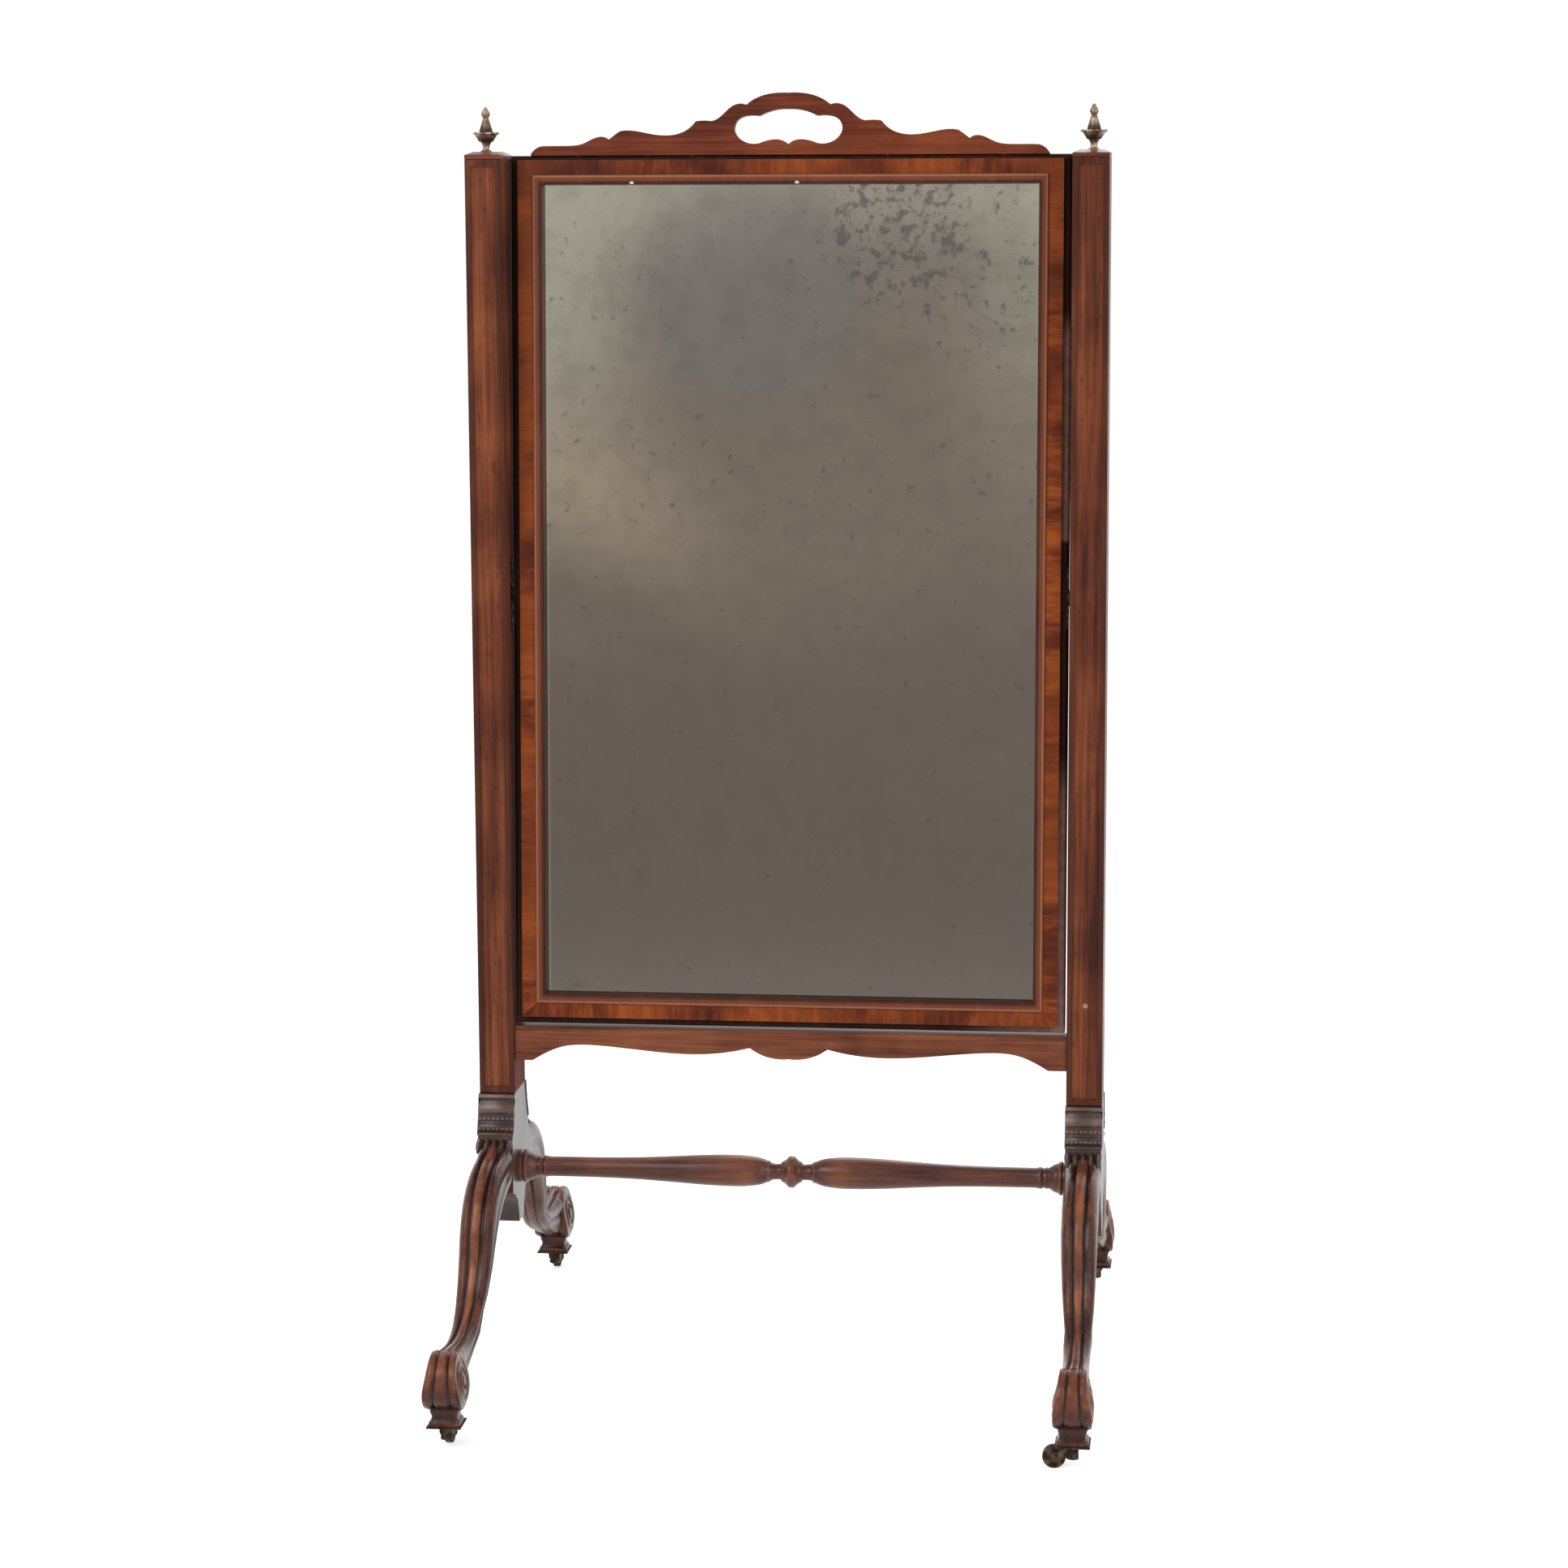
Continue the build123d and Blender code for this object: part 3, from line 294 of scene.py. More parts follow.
@dataclass(frozen=True)
class Wood:
    """A polished wood, with streaks, pores and clouds of darker and paler colour."""

    name: str
    dark: Colour
    middle: Colour
    light: Colour
    grain: Grain = Grain.UP
    lines: float = 260.0
    run: float = 7.0
    figure: float = 1.5
    gloss: float = 0.34
    coat: float = 0.04
    shine: float = 0.12
    relief: float = 0.00012

    def material(self) -> bpy.types.Material:
        """Build the material.

        Returns:
            The material.
        """
        surface = Surface(self.name)
        place = surface.place()
        lie = surface.scaled(place, self.grain.stretch(self.lines, self.run))
        fine = surface.noise(lie, 1.0, 5.0, 0.62, 0.4)
        streak = surface.noise(surface.scaled(place, self.grain.stretch(self.lines * 0.16, self.run * 0.45)),
                               1.0, 2.0, 0.5, 0.6)
        cloud = surface.noise(place, 9.0, 4.0, 0.55)
        pores = surface.noise(lie, 3.1, 1.0).eased(0.60, 0.74)
        shade = (fine * 0.34 + streak * 0.34 + cloud * 0.32 - 0.5) * self.figure + 0.5
        colour = surface.ramp(shade, ((0.26, self.dark), (0.50, self.middle), (0.76, self.light)))
        colour = surface.mix(pores * 0.35, colour, self.dark)
        colour = self.finished(surface, place, colour)
        roughness = self.dulled(surface, place, cloud * 0.16 + fine * 0.08 + (self.gloss - 0.10))
        surface.set(Base_Color=colour, Specular_IOR_Level=self.shine, Coat_Weight=self.coat,
                    Coat_Roughness=0.16, Roughness=roughness)
        surface.bump(fine - pores * 0.6, self.relief)
        return surface.material

    def finished(self, surface: Surface, place: Socket, colour: Socket) -> Socket:
        """Give the colour the marks of one kind of piece.

        Args:
            surface: the material being made.
            place: the place on the piece.
            colour: the colour of the plain wood.

        Returns:
            The colour with its marks.
        """
        return colour

    def dulled(self, surface: Surface, place: Socket, roughness: Socket) -> Socket:
        """Give the roughness the marks of one kind of piece.

        Args:
            surface: the material being made.
            place: the place on the piece.
            roughness: the roughness of the polished wood.

        Returns:
            The roughness where polish is missing too.
        """
        return roughness


@dataclass(frozen=True)
class PostWood(Wood):
    """The posts: redder panels inside darker borders, and a dent or two."""

    border: Colour = paint(56, 28, 22)
    panel_depth: float = -0.0336
    inner_face: float = 0.3193
    unpolished: float = 0.55
    dent_at: Place = (0.3400, -0.0325, 0.438)
    dent_radius: float = 0.0035
    dent_colour: Colour = paint(190, 170, 160)

    def finished(self, surface: Surface, place: Socket, colour: Socket) -> Socket:
        """Darken the borders round the panels and set a small pale dent.

        Args:
            surface: the shader graph.
            place: the point in the piece's space.
            colour: the colour so far.

        Returns:
            The changed colour.
        """
        depth = surface.axis(place, "Y")
        wear = surface.noise(surface.scaled(place, (60.0, 60.0, 9.0)), 1.0, 3.0).eased(0.35, 0.75)
        edged = surface.mix(depth.under(self.panel_depth) * (0.80 - wear * 0.40), colour, self.border)
        specks = surface.noise(surface.scaled(place, (170.0, 170.0, 60.0)), 1.0, 3.0).eased(0.56, 0.72)
        edged = surface.mix(specks * 0.45, edged, self.dark)
        dent = surface.spot(place, self.dent_at, self.dent_radius)
        return surface.mix(dent * 0.5, edged, self.dent_colour)

    def dulled(self, surface: Surface, place: Socket, roughness: Socket) -> Socket:
        """Leave the inner faces, towards the glass, without polish."""
        inner = 1.0 - surface.axis(place, "X").size().eased(self.inner_face, self.inner_face + MM)
        return inner * self.unpolished + roughness


@dataclass(frozen=True)
class CrossVeneer(Wood):
    """Veneer laid across the frame in short lengths, each of a slightly different tone."""

    length: float = 0.19
    start: float = 0.094
    spread: float = 0.34
    # Where and how strongly shade is painted over the upper left of the veneer.
    shaded_from: Point = (0.76, 0.82)
    shaded_to: Point = (-0.1, 0.3)
    shade: float = 0.42
    top_rail: Point = (1.355, 1.365)

    def finished(self, surface: Surface, place: Socket, colour: Socket) -> Socket:
        """Change the tone from one length to the next, paint shade over the upper left, and darken the top
        rail.

        Args:
            surface: the shader graph.
            place: the point in the piece's space.
            colour: the colour so far.

        Returns:
            The changed colour.
        """
        along = surface.axis(place, "Z" if self.grain is Grain.ACROSS else "X")
        piece = ((along - self.start) / self.length).floor()
        tone = surface.node("ShaderNodeTexWhiteNoise", {"noise_dimensions": "1D"}, {"W": piece}, "Value")
        broad = surface.noise(place, 12.0, 2.0).eased(0.38, 0.62)
        height = surface.axis(place, "Z")
        # Painted shade: the upper left of the veneer is darkened.
        left = 1.0 - surface.axis(place, "X").eased(*self.shaded_to)
        shaded = height.eased(*self.shaded_from) * left * self.shade
        darker = (tone * self.spread).most(shaded).most(height.eased(*self.top_rail) * self.spread)
        toned = surface.mix(darker, colour, self.dark)
        return surface.mix(broad * 0.40, toned, self.light)


@dataclass(frozen=True)
class EdgeWood(Wood):
    """The lipping round the frame: dark, with a painted highlight on two paler stretches down its right side.
    """

    # The colour of the highlight painted down the right side and along the foot.
    pale: Colour = paint(136, 100, 92)
    right_side: float = 0.30
    upper_stretch: tuple[float, float, float, float] = (0.962, 0.968, 1.185, 1.225)
    lower_stretch: Point = (0.66, 0.73)
    foot_top: Point = (0.416, 0.420)
    foot_right: Point = (0.18, 0.30)

    def finished(self, surface: Surface, place: Socket, colour: Socket) -> Socket:
        """Paint the highlight on the pale stretches on the right and along the foot.

        Args:
            surface: the shader graph.
            place: the point in the piece's space.
            colour: the colour so far.

        Returns:
            The changed colour.
        """
        height = surface.axis(place, "Z")
        across = surface.axis(place, "X")
        right = across.over(self.right_side)
        start, full, fading, end = self.upper_stretch
        upper = height.eased(start, full) * (1.0 - height.eased(fading, end))
        lower = 1.0 - height.eased(*self.lower_stretch)
        foot = (1.0 - height.eased(*self.foot_top)) * across.eased(*self.foot_right)
        # Painted highlight where the rounded edge would catch the light, on the right and along the foot.
        painted_highlight = (right * upper.most(lower)).most(foot * 0.7)
        mottled = surface.noise(place, 90.0, 3.0).eased(0.2, 0.8)
        return surface.mix(painted_highlight * (0.95 - mottled * 0.35), colour, self.pale)


@dataclass(frozen=True)
class MouldingWood(Wood):
    """The rounded moulding round the glass, with painted shade and a painted highlight across its width, and
    two small chips.
    """

    chips: tuple[Place, ...] = ((-0.1775, 0.006, 1.364), (0.0095, 0.006, 1.364))
    pivot: float = 0.9002
    lean: float = 2.84
    half_opening: tuple[float, float] = (0.2805, 0.4615)
    rise: float = 0.0015
    width: float = 0.011
    # Painted shade next to the glass and at the outer edge, and a painted highlight on the bead, across the
    # moulding's width.
    bands: tuple[tuple[float, Colour], ...] = (
        (0.0, paint(34, 16, 12)), (0.26, paint(48, 22, 16)), (0.40, paint(108, 54, 34)),
        (0.66, paint(112, 58, 38)), (0.80, paint(160, 106, 78)), (0.92, paint(140, 88, 62)),
        (1.0, paint(60, 28, 18)))

    def finished(self, surface: Surface, place: Socket, colour: Socket) -> Socket:
        """Paint shade and a highlight across the moulding and set the pale chips.

        Args:
            surface: the shader graph.
            place: the point in the piece's space.
            colour: the colour so far.

        Returns:
            The changed colour.
        """
        centred = surface.node("ShaderNodeMapping", None, {
            "Vector": place, "Location": (0.0, 0.0, -self.pivot)})
        upright = surface.scaled(centred, (1.0, 1.0, 1.0), (math.radians(self.lean), 0.0, 0.0))
        across = surface.axis(upright, "X").size() - self.half_opening[0]
        along = (surface.axis(upright, "Z") - self.rise).size() - self.half_opening[1]
        # Paint the shade and highlight across the moulding from its distance to the opening.
        colour = surface.mix(0.78, colour, surface.ramp(across.most(along) / self.width, self.bands))
        for chip in self.chips:
            colour = surface.mix(surface.spot(place, chip, 0.0038) * 0.9, colour, paint(235, 228, 218))
        return colour


@dataclass(frozen=True)
class CarvedWood(Wood):
    """Carved or turned wood: old polish and painted shade lie dark in the grooves, and the ridges are rubbed
    bright and carry a painted highlight.
    """

    # The ridge colour is rubbed wear and a painted highlight; the groove colour is old polish and painted
    # shade.
    ridge: Colour = paint(168, 100, 62)
    groove: Colour = paint(22, 9, 7)

    def finished(self, surface: Surface, place: Socket, colour: Socket) -> Socket:
        """Paint shade into the grooves and a highlight onto the ridges, from the piece's own relief.

        Args:
            surface: the shader graph.
            place: the point in the piece's space.
            colour: the colour so far.

        Returns:
            The changed colour.
        """
        height = surface.node("ShaderNodeAttribute", {"attribute_name": "relief"}, output="Fac")
        rubbed = surface.noise(place, 28.0, 3.0).eased(0.38, 0.72)
        # Painted highlight on the high relief, patchy where it is rubbed; painted shade with old polish in
        # the low relief.
        bright = surface.mix(height.eased(0.74, 1.0) * (rubbed * 0.5 + 0.18), colour, self.ridge)
        return surface.mix((1.0 - height.eased(0.05, 0.74)) * 0.92, bright, self.groove)


@dataclass(frozen=True)
class FoxedGlass:
    """Old silvering: cloudy, with grey specks where it has failed, under a painted reflection that is darker
    towards its foot.
    """

    name: str = "foxed_glass"
    # The tones of the painted reflection, from the foot of the glass to its head.
    tones: tuple[tuple[float, Colour], ...] = (
        (0.0, paint(100, 92, 85)), (0.22, paint(98, 89, 81)), (0.42, paint(106, 96, 87)),
        (0.56, paint(117, 107, 97)), (0.75, paint(119, 109, 99)), (0.88, paint(126, 118, 108)),
        (1.0, paint(158, 151, 138)))
    # Colours of the painted reflection; the murk and bare colours below are the silvering's own.
    cool: Colour = paint(108, 108, 106)
    warm: Colour = paint(160, 146, 126)
    pale: Colour = paint(172, 166, 152)
    murk: Colour = paint(88, 82, 76)
    bare: Colour = paint(70, 66, 69)
    foot: float = 0.44
    head: float = 1.36
    cool_at: Place = (-0.045, 0.02, 1.245)
    cool_radius: float = 0.17
    left_edge: Point = (-0.2800, -0.2745)
    failures: tuple[tuple[Place, float, float], ...] = (
        ((0.122, 0.02, 1.310), 0.105, 1.1), ((0.205, 0.02, 1.245), 0.105, 0.55),
        ((0.215, 0.02, 1.330), 0.075, 0.4))

    def material(self) -> bpy.types.Material:
        """Build the material.

        Returns:
            The material.
        """
        surface = Surface(self.name)
        place = surface.place()
        height = surface.axis(place, "Z")
        across = surface.axis(place, "X")
        sway = surface.noise(place, 4.0, 3.0, 0.5, 0.6)
        # Painted reflection: the glass darker towards its foot and paler towards its head.
        share = (height - self.foot) / (self.head - self.foot) + (sway - 0.5) * 0.24
        colour = surface.ramp(share, self.tones)
        # Painted reflection: paler at the upper left and upper right.
        upper = height.eased(0.92, 1.24)
        left = 1.0 - across.eased(-0.29, -0.10)
        right = across.eased(0.14, 0.30)
        colour = surface.mix(upper * (left * 0.62).most(right * 0.36), colour, self.pale)
        # Painted reflection: a grey patch near the top.
        colour = surface.mix(surface.spot(place, self.cool_at, self.cool_radius) * 0.50, colour, self.cool)
        # Painted reflection: a warm diagonal streak over the left half.
        slant = across * 0.45 + height
        ray = slant.eased(0.78, 0.92) * (1.0 - slant.eased(0.92, 1.06)) * (1.0 - across.eased(-0.26, 0.0))
        colour = surface.mix(ray * 0.62, colour, self.warm)
        # Painted reflection: a paler strip down the left edge.
        colour = surface.mix((1.0 - across.eased(*self.left_edge)) * 0.35, colour, self.pale)
        mottle = surface.noise(place, 34.0, 5.0, 0.62).eased(0.40, 0.68)
        colour = surface.mix(mottle * 0.20, colour, self.murk)
        failed = self.failed(surface, place)
        colour = surface.mix(failed * 0.72, colour, self.bare)
        surface.set(Base_Color=colour, Metallic=1.0 - failed * 0.3,
                    Roughness=mottle * 0.04 + failed * 0.12 + 0.07)
        return surface.material

    def failed(self, surface: Surface, place: Socket) -> Socket:
        """Find where the silvering has failed.

        Args:
            surface: the material being made.
            place: the place on the glass.

        Returns:
            1 where the silvering is gone.
        """
        where: Operand = 0.0
        for centre, radius, weight in self.failures:
            where = (surface.spot(place, centre, radius) * weight).most(where)
        blots = (surface.noise(place, 92.0, 3.0, 0.5) + where * 0.135).eased(0.625, 0.79)
        dots = (surface.noise(place, 230.0, 2.0, 0.5) + where * 0.13).eased(0.75, 0.84)
        lone = surface.noise(place, 52.0, 1.0).eased(0.745, 0.80) * 0.5
        return (blots * 0.9).most(dots * 0.8).most(lone)


@dataclass(frozen=True)
class OldMetal:
    """Brass, bronze or steel, with a darker skin in patches and in its hollows."""

    name: str
    skin: Colour
    worn: Colour
    gloss: float = 0.36
    rubbed: float = 0.5
    hollows: bool = False

    def material(self) -> bpy.types.Material:
        """Build the material.

        Returns:
            The material.
        """
        surface = Surface(self.name)
        place = surface.place()
        patch = surface.noise(place, 130.0, 4.0, 0.6)
        grit = surface.noise(place, 900.0, 2.0)
        bright = patch.eased(self.rubbed - 0.22, self.rubbed + 0.22)
        if self.hollows:
            bright = bright * surface.node("ShaderNodeAttribute", {"attribute_name": "relief"},
                                           output="Fac").eased(0.15, 0.85)
        surface.set(Base_Color=surface.mix(bright, self.skin, self.worn), Metallic=0.90,
                    Roughness=(1.0 - bright) * 0.22 + grit * 0.06 + self.gloss)
        surface.bump(patch + grit * 0.25, 0.00016)
        return surface.material


def lerp_table(table: Sequence[tuple[float, ...]], column: int) -> Callable[[np.ndarray], np.ndarray]:
    """Read a column of a table between its rows.

    Args:
        table: rows that start with a place.
        column: the column read.

    Returns:
        A function from places to that column's values.
    """
    rows = sorted(table)
    places = [row[0] for row in rows]
    values = [row[column] for row in rows]
    return lambda place: np.interp(place, places, values)


def smooth_line(points: Sequence[Point], count: int) -> np.ndarray:
    """Draw a smooth line through points.

    Args:
        points: the points that it passes through.
        count: how many places along it are wanted.

    Returns:
        Places along the line, evenly spread.
    """
    given = np.array(points, float)
    steps = np.linalg.norm(np.diff(given, axis=0), axis=1)
    run = np.concatenate([[0.0], np.cumsum(steps)])
    slope = np.gradient(given, run, axis=0)
    wanted = np.linspace(0.0, run[-1], count)
    i = np.clip(np.searchsorted(run, wanted, side="right") - 1, 0, len(steps) - 1)
    gap = steps[i][:, None]
    s = ((wanted - run[i]) / steps[i])[:, None]
    return ((2 * s**3 - 3 * s**2 + 1) * given[i] + (s**3 - 2 * s**2 + s) * gap * slope[i]
            + (3 * s**2 - 2 * s**3) * given[i + 1] + (s**3 - s**2) * gap * slope[i + 1])


@dataclass
class Shell:
    """Points and faces of one piece, in millimetres, gathered from several closed skins."""

    points: list[np.ndarray] = field(default_factory=list)
    relief: list[np.ndarray] = field(default_factory=list)
    faces: list[tuple[int, ...]] = field(default_factory=list)
    count: int = 0

    def tube(self, rings: np.ndarray, relief: np.ndarray) -> None:
        """Add a closed skin from rings of points, with a cap on each end.

        Args:
            rings: ring, place round it, and X, Y and Z.
            relief: the height of the carving at each point, from 0 to 1; on the wooden pieces it also carries
                painted shade and highlight.
        """
        total, around, _ = rings.shape
        start = self.count
        ends = np.array([rings[0].mean(axis=0), rings[-1].mean(axis=0)])
        self.points.append(np.concatenate([rings.reshape(-1, 3), ends]))
        self.relief.append(np.concatenate([relief.reshape(-1), [relief[0].mean(), relief[-1].mean()]]))
        low, high = start + total * around, start + total * around + 1
        for ring in range(total - 1):
            for place in range(around):
                after = (place + 1) % around
                a = start + ring * around
                self.faces.append((a + place, a + after, a + around + after, a + around + place))
        last = start + (total - 1) * around
        for place in range(around):
            after = (place + 1) % around
            self.faces.append((low, start + after, start + place))
            self.faces.append((high, last + place, last + after))
        self.count += total * around + 2

    def made(self, name: str, sharp: float = 50.0) -> bpy.types.Object:
        """Make the object, its faces turned outward.

        Args:
            name: the object's name.
            sharp: the angle in degrees past which an edge stays sharp.

        Returns:
            The object, with its place in its mesh.
        """
        mesh = bpy.data.meshes.new(name)
        mesh.from_pydata((np.concatenate(self.points) * MM).tolist(), [], self.faces)
        shaped = mesh.attributes.new("relief", "FLOAT", "POINT")
        shaped.data.foreach_set("value", np.concatenate(self.relief).astype(np.float32))
        body = bmesh.new()
        body.from_mesh(mesh)
        bmesh.ops.recalc_face_normals(body, faces=body.faces)
        body.to_mesh(mesh)
        body.free()
        return smoothed(name, mesh, sharp)


def skin(name: str, rings: np.ndarray, relief: np.ndarray, sharp: float) -> bpy.types.Object:
    """Make an object of one closed skin.

    Args:
        name: the object's name.
        rings: ring, place round it, and X, Y and Z.
        relief: the height of the carving at each point, on the wooden pieces with painted shade and
            highlight; it is kept between 0 and 1.
        sharp: the angle in degrees past which an edge stays sharp.

    Returns:
        The object.
    """
    shell = Shell()
    shell.tube(rings, np.clip(relief, 0, 1))
    return shell.made(name, sharp)


def squared(angle: np.ndarray, power: float) -> tuple[np.ndarray, np.ndarray]:
    """Lay points round a square with rounded corners.

    Args:
        angle: the angle of each point.
        power: 1 for a circle, and less for squarer corners.

    Returns:
        Both places of each point, from -1 to 1.
    """
    return (np.sign(np.cos(angle)) * np.abs(np.cos(angle)) ** power,
            np.sign(np.sin(angle)) * np.abs(np.sin(angle)) ** power)


def smoothed(name: str, mesh: bpy.types.Mesh, sharp: float) -> bpy.types.Object:
    """Link a mesh as an object that is shaded smooth up to an angle.

    Args:
        name: the name of the object.
        mesh: its mesh.
        sharp: the angle, in degrees.

    Returns:
        The object.
    """
    mesh.shade_smooth()
    mesh.set_sharp_from_angle(angle=math.radians(sharp))
    made = bpy.data.objects.new(name, mesh)
    bpy.context.scene.collection.objects.link(made)
    return made


def turned(outline: Sequence[Point], around: int,
           bend: Bend | None = None) -> tuple[np.ndarray, np.ndarray]:
    """Turn an outline about the Z axis.

    Args:
        outline: radius and height of each ring.
        around: how many points a ring has.
        bend: changes the radius, from the angle and the height, where the piece isn't round.

    Returns:
        The rings, and a relief of 1 where the radius is whole.
    """
    angle = np.linspace(0.0, math.tau, around, endpoint=False)
    rings, relief = [], []
    for radius, height in outline:
        share = np.ones(around) if bend is None else bend(angle, np.full(around, height))
        rings.append(np.stack([radius * share * np.cos(angle), radius * share * np.sin(angle),
                               np.full(around, height)], axis=1))
        relief.append(share)
    return np.array(rings), np.array(relief)


def eased_copy(nodes: dict[str, bpy.types.Object], node: str, width: float,
               least: float) -> bpy.types.Object:
    """Copy a solid with its sharp edges eased, to stand in its place.

    Args:
        nodes: the solids by name.
        node: the solid that is copied.
        width: how far its edges are eased, in millimetres.
        least: the shortest edge that is eased, in millimetres.

    Returns:
        The new object.
    """
    mesh = nodes[node].data.copy()
    mesh.materials.clear()
    body = bmesh.new()
    body.from_mesh(mesh)
    bmesh.ops.remove_doubles(body, verts=body.verts, dist=1e-6)
    bmesh.ops.dissolve_limit(body, angle_limit=math.radians(0.5), verts=body.verts, edges=body.edges)
    weight = body.edges.layers.float.new("bevel_weight_edge")
    for edge in body.edges:
        sharp = edge.is_manifold and edge.calc_face_angle(0.0) > math.radians(32)
        if sharp and edge.calc_length() > least * MM:
            edge[weight] = 1.0
    body.to_mesh(mesh)
    body.free()
    made = smoothed(f"{node}_eased", mesh, 40.0)
    bevel = made.modifiers.new("edges", "BEVEL")
    bevel.limit_method = "WEIGHT"
    bevel.width = width * MM
    bevel.segments = 2
    bevel.use_clamp_overlap = False
    weighted = made.modifiers.new("normals", "WEIGHTED_NORMAL")
    weighted.keep_sharp = True
    return plain(made)


def plain(made: bpy.types.Object) -> bpy.types.Object:
    """Turn an object with modifiers into one with a plain mesh.

    Args:
        made: the object with its modifiers.

    Returns:
        The object with a plain mesh.
    """
    graph = bpy.context.evaluated_depsgraph_get()
    mesh = bpy.data.meshes.new_from_object(
        made.evaluated_get(graph), preserve_all_data_layers=True, depsgraph=graph)
    made.modifiers.clear()
    made.data = mesh
    return made


class Rule(Graph):
    """A geometry rule that sets one small shape along a line or round an axis."""

    def __init__(self, name: str, inputs: Sequence[tuple[str, str]]) -> None:
        """Make the tree with its named inputs.

        Args:
            name: the rule's name.
            inputs: the name and socket type of each input.
        """
        super().__init__(bpy.data.node_groups.new(name, "GeometryNodeTree"))
        self.keys: dict[str, str] = {}
        for label, kind in inputs:
            made = self.tree.interface.new_socket(label, in_out="INPUT", socket_type=kind)
            self.keys[label] = made.identifier
        self.tree.interface.new_socket("Geometry", in_out="OUTPUT", socket_type="NodeSocketGeometry")
        self.given = self.tree.nodes.new("NodeGroupInput")

    def input(self, label: str) -> Socket:
        """One of the named inputs."""
        return Socket(self, self.given.outputs[label])

    def spread(self, points: Socket, turn: Socket) -> None:
        """Set the shape on every point, as real faces with their material, and end the tree.

        Args:
            points: where it is set.
            turn: how it is turned at each point.
        """
        shape = self.node("GeometryNodeObjectInfo", {"transform_space": "ORIGINAL"},
                          {"Object": self.input("Shape")}, "Geometry")
        shapes = self.node("GeometryNodeInstanceOnPoints", None, {
            "Points": points, "Instance": shape, "Rotation": turn})
        real = self.node("GeometryNodeRealizeInstances", None, {0: shapes})
        dressed = self.node("GeometryNodeSetMaterial", None, {
            "Geometry": real, "Material": self.input("Material")})
        out = self.tree.nodes.new("NodeGroupOutput")
        self.tree.links.new(dressed.socket, out.inputs[0])

    def apply(self, name: str, values: dict[str, Any]) -> bpy.types.Object:
        """Run the rule into a plain object.

        Args:
            name: the new object's name.
            values: a value for each named input.

        Returns:
            The object with its plain mesh.
        """
        made = bpy.data.objects.new(name, bpy.data.meshes.new(name))
        bpy.context.scene.collection.objects.link(made)
        modifier = made.modifiers.new("rule", "NODES")
        modifier.node_group = self.tree
        for label, value in values.items():
            modifier[self.keys[label]] = value
        return plain(made)


def row_rule() -> Rule:
    """Build the rule that sets a small shape at even steps along a line.

    Returns:
        The rule.
    """
    rule = Rule("shapes_in_a_row", (("Shape", "NodeSocketObject"), ("Count", "NodeSocketInt"),
                                    ("Start", "NodeSocketVector"), ("Step", "NodeSocketVector"),
                                    ("Turn", "NodeSocketVector"), ("Material", "NodeSocketMaterial")))
    line = rule.node("GeometryNodeMeshLine", {"mode": "OFFSET"}, {
        "Count": rule.input("Count"), "Start Location": rule.input("Start"), "Offset": rule.input("Step")})
    rule.spread(line, rule.input("Turn"))
    return rule


def ring_rule() -> Rule:
    """Build the rule that sets a small shape at even turns round an upright axis.

    Returns:
        The rule.
    """
    rule = Rule("shapes_in_a_ring", (("Shape", "NodeSocketObject"), ("Count", "NodeSocketInt"),
                                     ("Centre", "NodeSocketVector"), ("Material", "NodeSocketMaterial")))
    points = rule.node("GeometryNodePoints", None, {
        "Count": rule.input("Count"), "Position": rule.input("Centre")})
    index = rule.node("GeometryNodeInputIndex")
    turn = index * math.tau / rule.input("Count")
    rule.spread(points, rule.node("ShaderNodeCombineXYZ", None, {"Z": turn}))
    return rule


def joined(name: str, parts: Sequence[bpy.types.Object]) -> bpy.types.Object:
    """Join plain objects into one.

    Args:
        name: the joined object's name.
        parts: the objects, which are used up.

    Returns:
        The joined object.
    """
    body = bmesh.new()
    for part in parts:
        if "relief" not in part.data.attributes:
            part.data.attributes.new("relief", "FLOAT", "POINT").data.foreach_set(
                "value", np.full(len(part.data.vertices), 0.9, np.float32))
        body.from_mesh(part.data)
        bpy.data.objects.remove(part)
    mesh = bpy.data.meshes.new(name)
    body.to_mesh(mesh)
    body.free()
    return smoothed(name, mesh, 48.0)


def dress(piece: bpy.types.Object, finish: bpy.types.Material) -> None:
    """Give a piece one material in place of what it has."""
    piece.data.materials.clear()
    piece.data.materials.append(finish)


def seat(piece: bpy.types.Object, finish: bpy.types.Material, body: str, node: str) -> None:
    """Dress a piece and let it ride on a body in the place of its node.

    Args:
        piece: the piece.
        finish: its material.
        body: the body that carries it.
        node: the node that it stands for.
    """
    dress(piece, finish)
    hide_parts(node)
    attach(piece, body)
    LOG.info("%s: %d faces, on %s", piece.name, len(piece.data.polygons), body)


class Side(Enum):
    """Left or right of the stand."""

    LEFT = -1
    RIGHT = 1

    @property
    def word(self) -> str:
        """The side's word in the nodes' names."""
        return self.name.lower()


class End(Enum):
    """Front or rear of the stand."""

    FRONT = -1
    REAR = 1

    @property
    def word(self) -> str:
        """The end's word in the nodes' names."""
        return self.name.lower()


